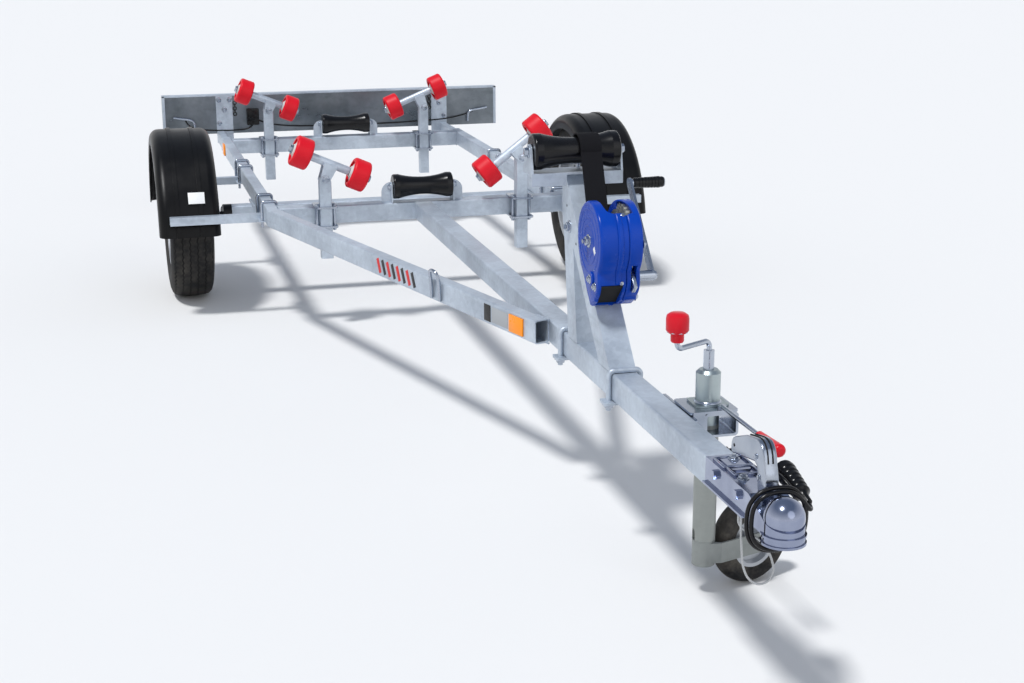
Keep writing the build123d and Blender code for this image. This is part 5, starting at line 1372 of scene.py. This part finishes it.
    def gear(self) -> None:
        """Toothed ring with its stepped hub, inside the case."""
        count = 4 * self.teeth
        outline = [self.round_drum(step * 360 / count,
                                   self.tooth_tip - self.tooth_height * (step // 2 % 2))
                   for step in range(count)]
        ring = Bench.put(Bench.prism(outline, self.gear_width, 0.001, 1), self.lying(self.gear_x))
        hub = Bench.put(Bench.turned(self.hub_profile, 72),
                        facing(self.face(*self.drum, self.hub_x), LEFT))
        gear = Bench.fit(Bench.join([ring, hub]), "toothed_ring", Extra.gear_steel)
        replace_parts(gear, "winch_gear")

    def gaps(self) -> None:
        """Painted shade: a thin dark sheet inside the case's mouth, and dark discs for the holes in
        the post's side.
        """
        mouth = Bench.block(self.mouth_size, self.mouth_place)
        Bench.put(mouth, self.lying(self.mouth_x))
        holes = Bench.spread(Bench.disc(*self.hole_size),
                             [facing((-0.0299, y, z), RIGHT) for y, z in self.post_holes])
        Bench.fit(Bench.join([mouth, holes]), "case_mouth_shade", Extra.dark_gap)

    def covers(self) -> None:
        """Raised rings and bosses on both covers of the winch."""
        right = facing(self.face(*self.drum, self.cover_right), RIGHT)
        raised = []
        for radius in self.ring_radii:
            profile = [(radius + out, height) for out, height in self.ring_section]
            raised.append(Bench.put(Bench.turned(profile, 64), right))
        bosses = (
            (self.lobe, self.cover_right, RIGHT, (0.017, 0.004, 0.0015)),
            ((0.330, 0.135), self.cover_left, LEFT, (0.010, 0.003, 0.001)),
            ((0.168, 0.030), self.cover_left, LEFT, (0.009, 0.003, 0.001)),
        )
        for spot, x, way, sizes in bosses:
            raised.append(Bench.put(Bench.disc(*sizes), facing(self.face(*spot, x), way)))
        Bench.fit(Bench.join(raised), "winch_rings", Slot.blue_plastic)

    def fasteners(self) -> None:
        """Axle nut, bolts and screws of the winch and the post, its pawl and its blank sticker."""
        right, left = self.cover_right, self.cover_left
        groups = (
            (Bench.hex_bolt(*self.axle_nut), (
                facing(self.face(*self.drum, right), RIGHT),
                facing(self.face(*self.drum, left + 0.001), LEFT),
                facing(self.post_bolt, RIGHT))),
            (Bench.hex_bolt(*self.cover_bolt), (
                facing(self.face(*self.lobe, right - 0.004), RIGHT),
                facing(self.face(0.1754, 0.0714, right), RIGHT),
                facing(self.face(0.225, 0.160, left), LEFT),
                facing(self.face(0.168, 0.030, left + 0.003), LEFT))),
            (Bench.disc(*self.screw, 24), (
                facing(self.face(*self.round_drum(84, 0.0865), 0.0125), self.away(84)),
                facing(self.face(0.1680, 0.0935, 0.0085), self.away(145)))),
        )
        pieces = [Bench.spread(pattern, places) for pattern, places in groups]
        Bench.fit(Bench.join(pieces), "winch_bolts")
        plates = (
            ("winch_pawl", Slot.zinc_plate, (0.052, 0.024, 0.009), (0.178, 0.088), 0.0365, 0.002),
            ("winch_sticker", Extra.white_label, (0.016, 0.011, 0.0008), (0.237, 0.121),
             right - 0.0003, 0.0002),
        )
        for name, finish, size, spot, x, round_off in plates:
            place = self.lying(x) @ Matrix.Translation((*spot, 0))
            Bench.fit(Bench.put(Bench.block(size, round_off=round_off), place), name, finish)

    def grip(self) -> None:
        """Ribbed black grip over the crank's end, and the crank's nut."""
        swell = 0.0016 / (self.grip_ribs - 1)
        profile = [*self.grip_foot,
                   *ribs(self.grip_ribs, (0.0105, 0.010), (swell, 0.0075), self.grip_rib),
                   *self.grip_end]
        grip = Bench.put(Bench.turned(profile, 40), facing(self.face(0.445, 0.061, 0.0985), LEFT))
        Bench.fit(grip, "crank_grip", Slot.black_rubber, "winch_crank")
        crank_end = facing(self.face(*self.lobe, 0.098), LEFT)
        nut = Bench.put(Bench.hex_bolt(*self.crank_nut), crank_end)
        Bench.fit(nut, "crank_nut", body="winch_crank")

    def clamps(self) -> None:
        """Nuts under the post's clamps and on the rollers' pins."""
        low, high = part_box("post_clamps")
        x, z = self.clamp_nut
        rows = (low[1] + self.clamp_inset, high[1] - self.clamp_inset)
        places = [facing((side * x, y, z), DOWN) for side in SIDES.values() for y in rows]
        low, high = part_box("bow_bracket")
        middle, half = (low[0] + high[0]) / 2, (high[0] - low[0]) / 2 - self.bow_inset
        places += [facing((middle + side * half, *self.bow_pin), (side, 0, 0))
                   for side in SIDES.values()]
        x, z = self.keel_pin
        places += [facing((side * x, y, z), (side, 0, 0))
                   for y in self.keel_rows for side in SIDES.values()]
        Bench.bolts("post_nuts", self.post_nut, places)

    def build(self) -> None:
        """Build all of it."""
        for step in (self.case, self.gear, self.gaps, self.covers, self.fasteners, self.grip,
                     self.clamps):
            step()


@dataclass
class JockeyLeg:
    """Red knob, nuts, bolts and weld of the jockey wheel."""

    place: Pair = (0.088, -1.959)
    turn: float = math.radians(18)
    trail: float = 0.125
    wheel_radius: float = 0.095
    fork_half: float = 0.035
    knob_offset: Place = (-0.087, -0.048, 0.5642)   # from the foot of the tube's middle line
    knob_profile: tuple[Pair, ...] = (
        (0.0, 0.0), (0.0115, 0.0), (0.0135, 0.003), (0.0135, 0.017), (0.020, 0.020),
        (0.0232, 0.025), (0.0232, 0.048), (0.0215, 0.055), (0.015, 0.0595), (0.0, 0.0605),
    )
    fork_nut: Pair = (0.0105, 0.008)
    bracket_bolt: Pair = (0.009, 0.006)
    bolt_places: tuple[Place, ...] = ((0.036, -2.020, 0.384), (0.036, -1.870, 0.384))
    weld_profile: tuple[Pair, ...] = (
        (0.0245, 0.4205), (0.0285, 0.4212), (0.0270, 0.4240), (0.0245, 0.4262),
    )

    def build(self) -> None:
        """Build the knob, the axle's nuts, the bracket's bolts and the sleeve's weld."""
        foot = Matrix.Translation((*self.place, 0))
        knob_place = foot @ Matrix.Translation(self.knob_offset)
        Bench.fit(Bench.put(Bench.turned(self.knob_profile, 48), knob_place), "crank_knob",
                  Slot.red_plastic)
        s, c = math.sin(self.turn), math.cos(self.turn)
        axle = Vector((s, -c, 0))
        middle = Vector((*self.place, self.wheel_radius)) + Vector((c, s, 0)) * self.trail
        ends = [facing(middle + axle * side * self.fork_half, axle * side)
                for side in SIDES.values()]
        Bench.bolts("fork_nuts", self.fork_nut, ends, "jockey_caster", Slot.black_paint)
        Bench.bolts("bracket_bolts", self.bracket_bolt,
                    [facing(place, LEFT) for place in self.bolt_places])
        Bench.fit(Bench.put(Bench.turned(self.weld_profile, 48), foot), "sleeve_weld")


@dataclass(frozen=True)
class Cradle:
    """Place of one swivelling pair of rollers."""

    row: str
    side: str
    pivot_z: float
    tilt: float
    spacing: float
    above: float
    slip: float


@dataclass
class Cradles:
    """Hub cores and nuts of the red rollers, pivot nuts and clamp nuts."""

    post_x: float = 0.340
    faces: dict[str, float] = field(default_factory=lambda: {"front": 0.4606, "rear": 2.136})
    rows: tuple[Cradle, ...] = (
        Cradle("front", "right", 0.512, -23.6, 0.206, 0.051, 0.0),
        Cradle("front", "left", 0.556, 37.0, 0.224, 0.036, -0.011),
        Cradle("rear", "right", 0.541, -22.0, 0.203, 0.037, -0.018),
        Cradle("rear", "left", 0.530, 21.9, 0.213, 0.055, -0.014),
    )
    core_profile: tuple[Pair, ...] = (
        (0.0102, -0.0055), (0.0102, 0.003), (0.018, 0.0022), (0.022, -0.003), (0.030, -0.0055),
    )
    roller_half: float = 0.030
    nut_out: float = 0.0345
    pivot_half: float = 0.0255
    clamp_x: float = 0.029
    clamp_gap: float = 0.006                 # frame's face to a clamp nut
    shaft_nut: Pair = (0.0125, 0.008)
    pivot_nut: Pair = (0.0105, 0.006)
    clamp_nut: Pair = (0.0088, 0.0075)

    def dress(self, cradle: Cradle) -> Vector:
        """Cores, shaft nuts and pivot nuts of one cradle.

        Args:
            cradle: Its row of the table.

        Returns:
            The middle of its pivot.
        """
        name = f"{cradle.row}_{cradle.side}"
        tilt = math.radians(cradle.tilt)
        along = Vector((math.cos(tilt), 0, math.sin(tilt)))
        normal = Vector((-math.sin(tilt), 0, math.cos(tilt)))
        side = SIDES[cradle.side]
        pivot = Vector((side * self.post_x, self.faces[cradle.row], cradle.pivot_z))
        middle = pivot + normal * cradle.above + along * cradle.slip
        half = cradle.spacing / 2
        cores = [facing(middle + along * (end * half + way * self.roller_half), along * way)
                 for end in (-1, 1) for way in (-1, 1)]
        core = Bench.spread(Bench.turned(self.core_profile, 32), cores)
        Bench.fit(core, f"hub_cores_{name}", Extra.hub_white, f"rollers_{name}")
        shaft_ends = [facing(middle + along * end * (half + self.nut_out), along * end)
                      for end in (-1, 1)]
        Bench.bolts(f"shaft_nuts_{name}", self.shaft_nut, shaft_ends, f"rocker_{name}")
        Bench.bolts(f"pivot_nuts_{name}", self.pivot_nut,
                    [facing(pivot + Vector((0, way * self.pivot_half, 0)), (0, way, 0))
                     for way in (-1, 1)])
        return pivot

    def build(self) -> None:
        """Dress the four cradles, then their clamps."""
        pivots = [self.dress(cradle) for cradle in self.rows]
        ends = ((FRAME_TOP + self.clamp_gap, UP), (FRAME_BOTTOM - self.clamp_gap, DOWN))
        places = [facing((pivot.x + dx, pivot.y, z), way)
                  for pivot in pivots for dx in (-self.clamp_x, self.clamp_x) for z, way in ends]
        Bench.bolts("clamp_nuts", self.clamp_nut, places)


@dataclass
class RunningGear:
    """Tyres with rounded walls, wheel bolts, hub caps and the blank label on a mudguard."""

    tyre_half: tuple[Pair, ...] = (          # radius and distance from the middle plane
        (0.1785, 0.0635), (0.190, 0.0690), (0.212, 0.0760), (0.236, 0.0772), (0.256, 0.0745),
        (0.2715, 0.0690), (0.2805, 0.0600), (0.2855, 0.0450), (0.2878, 0.0220),
    )
    bolt_circle: float = 0.058
    bolt_count: int = 5
    bolt_inward: float = 0.016
    bolt_size: Pair = (0.0105, 0.011)
    cap_outward: float = 0.006
    cap_size: Place = (0.030, 0.012, 0.004)
    label_size: Place = (0.056, 0.0008, 0.042)
    label_place: Place = (-0.750, AXLE_Y - 0.3519, 0.4191)
    label_way: Place = (0, -0.854, 0.52)

    def wheel(self, name: str, side: int) -> None:
        """Tyre, bolts and hub cap of one wheel.

        Args:
            name: Name of the side.
            side: 1 for left and -1 for right.
        """
        body, way = f"wheel_{name}", (side, 0, 0)
        section = [*self.tyre_half, *((radius, -x) for radius, x in reversed(self.tyre_half))]
        tyre = Bench.put(Bench.turned(section, 96, closed=True),
                         facing((side * TRACK_X, AXLE_Y, TYRE_RADIUS), way))
        Bench.fit(tyre, f"grooved_tyre_{name}", Slot.tyre_rubber, body, 28)
        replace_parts(tyre, f"tyre_{name}")
        angles = [math.tau * (i + 0.5) / self.bolt_count for i in range(self.bolt_count)]
        places = [facing((side * (TRACK_X - self.bolt_inward),
                          AXLE_Y + self.bolt_circle * math.cos(angle),
                          TYRE_RADIUS + self.bolt_circle * math.sin(angle)), way)
                  for angle in angles]
        Bench.bolts(f"wheel_bolts_{name}", self.bolt_size, places, body)
        hub = facing((side * (TRACK_X + self.cap_outward), AXLE_Y, TYRE_RADIUS), way)
        Bench.fit(Bench.put(Bench.disc(*self.cap_size), hub), f"hub_cap_{name}", body=body)

    def build(self) -> None:
        """Dress both wheels and the mudguard."""
        for name, side in SIDES.items():
            self.wheel(name, side)
        place = facing(self.label_place, self.label_way) @ Matrix.Rotation(math.pi / 2, 4, "X")
        label = Bench.put(Bench.block(self.label_size, round_off=0.0002), place)
        Bench.fit(label, "guard_label", Extra.white_label)


@dataclass
class LightBoard:
    """Lenses, handles, bolts, chains, folded edges and lamp cable of the light board."""

    front_y: float = 2.527
    lens_length: float = 0.21
    lens_thick: float = 0.004
    lens_sink: float = 0.0021                # its middle inside the lamps' rear faces
    lens_margin: float = 0.012
    lens_shares: tuple[tuple[str, Enum, float, float], ...] = (
        ("turn_lenses", Extra.amber, 0.03, 0.30),
        ("brake_lenses", Slot.red_lens, 0.33, 0.67),
        ("clear_lenses", Extra.clear_lens, 0.70, 0.97),
    )
    handle_gap: float = 0.012
    handle: tuple[Pair, ...] = (             # X and Z
        (0.630, 0.410), (0.630, 0.428), (0.632, 0.452), (0.655, 0.462), (0.690, 0.466),
        (0.722, 0.472),
    )
    handle_radius: float = 0.005
    screw_z: float = 0.414
    bolt_size: Place = (0.009, 0.007, 0.004)
    bolt_gap: float = 0.005
    bolt_places: tuple[Pair, ...] = (        # X from the bracket's middle, and Z
        (-0.024, 0.545), (0.024, 0.545), (0.0, 0.500), (0.024, 0.440),
    )
    chain: Place = (0.448, 0.530, 0.0125)    # X, Z of its top link and its pitch
    chain_links: int = 5
    link_profile: tuple[Pair, ...] = (
        (0.0075, -0.002), (0.0095, 0.0), (0.0075, 0.002), (0.0055, 0.0),
    )
    sheet: float = 0.0012
    lip_height: float = 0.006
    end_width: float = 0.012
    junction: Pair = (-0.369, 0.466)
    junction_size: Place = (0.055, 0.022, 0.075)
    lead_gap: float = 0.006
    lead_radius: float = 0.003
    leads: tuple[tuple[Pair, ...], ...] = (  # X and Z; the last point goes to the board
        ((-0.369, 0.43), (-0.38, 0.412), (-0.44, 0.405), (-0.60, 0.410), (-0.66, 0.430),
         (-0.67, 0.46)),
        ((-0.345, 0.45), (-0.30, 0.420), (0.0, 0.410), (0.40, 0.415), (0.60, 0.430),
         (0.67, 0.46)),
    )

    def lenses(self) -> None:
        """Three-part lenses on the lamps."""
        low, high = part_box("lamps")
        height, middle_z = high[2] - low[2] - self.lens_margin, (low[2] + high[2]) / 2
        for name, finish, share_from, share_to in self.lens_shares:
            outer, inner = (high[0] - self.lens_length * share for share in (share_from, share_to))
            size = (outer - inner, self.lens_thick, height)
            x, y = (outer + inner) / 2, high[1] - self.lens_sink
            pieces = [Bench.block(size, (side * x, y, middle_z), 0.0015)
                      for side in SIDES.values()]
            Bench.fit(Bench.join(pieces), name, finish, "light_unit")

    def handles(self) -> None:
        """Bent clamp handles, each with its short screw."""
        y = self.front_y - self.handle_gap
        bars = []
        for side in SIDES.values():
            screw_x = side * self.handle[0][0]
            screw = [(screw_x, self.front_y, self.screw_z), (screw_x, y, self.screw_z)]
            for points in ([(side * x, y, z) for x, z in self.handle], screw):
                bars.append(Bench.bent_bar(points, self.handle_radius))
        Bench.fit(Bench.join(bars), "board_handles", body="light_unit")

    def chains(self) -> None:
        """Short black chains beside the brackets."""
        x, top, pitch = self.chain
        links = []
        for side in SIDES.values():
            for step in range(self.chain_links):
                place = (side * x, self.front_y - self.handle_gap, top - step * pitch)
                spin = Matrix.Rotation(math.pi / 2 * (step % 2), 4, "Z")
                upright = Matrix.Translation(place) @ spin @ Matrix.Rotation(math.pi / 2, 4, "X")
                links.append(Bench.put(Bench.turned(self.link_profile, 20, closed=True), upright))
        Bench.fit(Bench.join(links), "board_chains", Slot.black_paint, "light_unit")

    def folds(self) -> None:
        """Bright folded edges along the board's top and down its two ends."""
        low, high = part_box("light_board")
        length, depth, height = (b - a for a, b in zip(low, high))
        y, z = (low[1] + high[1]) / 2, (low[2] + high[2]) / 2
        front = low[1] - self.sheet / 2
        strips = [
            ((length, depth, self.sheet), (0.0, y, high[2] + self.sheet / 2)),
            ((length, self.sheet, self.lip_height), (0.0, front, high[2] - self.lip_height / 2)),
        ]
        strips += [((self.end_width, self.sheet, height),
                    (side * (high[0] - self.end_width / 2), front, z)) for side in SIDES.values()]
        folds = [Bench.block(size, centre, 0.0004) for size, centre in strips]
        Bench.fit(Bench.join(folds), "board_folds", Slot.galvanised_steel, "light_unit")

    def wiring(self) -> None:
        """Junction box and the two lamp leads clipped to the board."""
        depth = self.junction_size[1]
        x, z = self.junction
        box = Bench.block(self.junction_size, (x, self.front_y - depth / 2, z), 0.004)
        y = self.front_y - self.lead_gap
        leads = []
        for *run, end in self.leads:
            points = [*((x, y, z) for x, z in run), (end[0], self.front_y - 0.001, end[1])]
            leads.append(Bench.bent_bar(points, self.lead_radius))
        Bench.fit(Bench.join([box, *leads]), "board_wiring", Slot.black_rubber, "light_unit")

    def build(self) -> None:
        """Build all of it."""
        self.lenses()
        self.handles()
        y = self.front_y - self.bolt_gap
        Bench.bolts("board_bolts", self.bolt_size,
                    [facing((side * (RAIL_X + dx), y, z), AHEAD)
                     for side in SIDES.values() for dx, z in self.bolt_places], "light_unit")
        self.chains()
        self.folds()
        self.wiring()


@dataclass
class Studio:
    """Camera, floor and light."""

    lens: float = 57.083
    sensor: float = 36.0
    place: Place = (-1.0919, -4.9145, 1.4044)
    yaw: float = math.radians(14.5828)
    pitch: float = math.radians(15.1768)
    roll: float = math.radians(-0.2136)
    floor_size: float = 80
    floor_z: float = -0.0005
    floor_colour: Colour = (0.78, 0.775, 0.765)
    horizon: Colour = (1.0, 1.0, 1.0)
    overhead: Colour = (0.24, 0.29, 0.38)
    suns: tuple[tuple[Any, ...], ...] = (    # name, heading, height, strength, spread
        ("key", 215, 66, 2.5, 8),
        ("fill", -70, 30, 0.25, 40),
    )

    def camera(self) -> None:
        """Camera at the viewing angle."""
        data = bpy.data.cameras.new("view")
        data.lens = self.lens
        data.sensor_width = self.sensor
        camera = bpy.data.objects.new("view", data)
        bpy.context.scene.collection.objects.link(camera)
        turn = (Matrix.Rotation(-self.yaw, 4, "Z")
                @ Matrix.Rotation(math.pi / 2 - self.pitch, 4, "X")
                @ Matrix.Rotation(self.roll, 4, "Z"))
        camera.matrix_world = Matrix.Translation(self.place) @ turn
        bpy.context.scene.camera = camera

    def floor(self) -> None:
        """Wide pale floor."""
        Bench.clear()
        place = (0, 0, self.floor_z)
        bpy.ops.mesh.primitive_plane_add(size=self.floor_size, location=place)
        floor = bpy.context.object
        floor.name = "floor"
        sheet = ShaderSheet(bpy.data.materials.new("floor"))
        floor.data.materials.append(sheet.dress(Base_Color=self.floor_colour, Roughness=0.9))

    def sun(self, name: str, heading: float, height: float, strength: float,
            spread: float) -> None:
        """Broad sun.

        Args:
            name: Its name.
            heading: Degrees from +X towards +Y that it shines from.
            height: Degrees above the floor that it shines from.
            strength: Its strength.
            spread: Degrees that it is wide.
        """
        data = bpy.data.lights.new(name, "SUN")
        data.energy = strength
        data.angle = math.radians(spread)
        lamp = bpy.data.objects.new(name, data)
        turn, rise = math.radians(heading), math.radians(height)
        flat = math.cos(rise)
        source = (flat * math.cos(turn), flat * math.sin(turn), math.sin(rise))
        lamp.matrix_world = facing((0, 0, 5), source)
        bpy.context.scene.collection.objects.link(lamp)

    def surroundings(self) -> None:
        """Soft surroundings: white at the horizon and a deeper blue overhead."""
        sheet = ShaderSheet(bpy.data.worlds.new("surroundings"), "BACKGROUND")
        height = sheet.ramp(sheet.axes()[2], 0.05, 0.75)
        sky = sheet.mix(height, self.horizon, self.overhead)
        bpy.context.scene.world = sheet.dress(Color=sky)

    def build(self) -> None:
        """Set the studio up."""
        self.camera()
        self.floor()
        self.surroundings()
        for sun in self.suns:
            self.sun(*sun)
        bpy.context.scene.view_settings.view_transform = "Standard"


def main() -> None:
    """Build the classes in order."""
    logging.basicConfig(level=logging.INFO, format="%(message)s")
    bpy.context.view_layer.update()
    assemblies = (Studio(), PackedPieces(), FrameMarks(), Coupling(), WinchPost(), JockeyLeg(),
                  Cradles(), RunningGear(), LightBoard())
    for assembly in assemblies:
        assembly.build()
        log.info("built %s", type(assembly).__name__)
    Bench.clear()


if __name__ == "__main__":
    main()
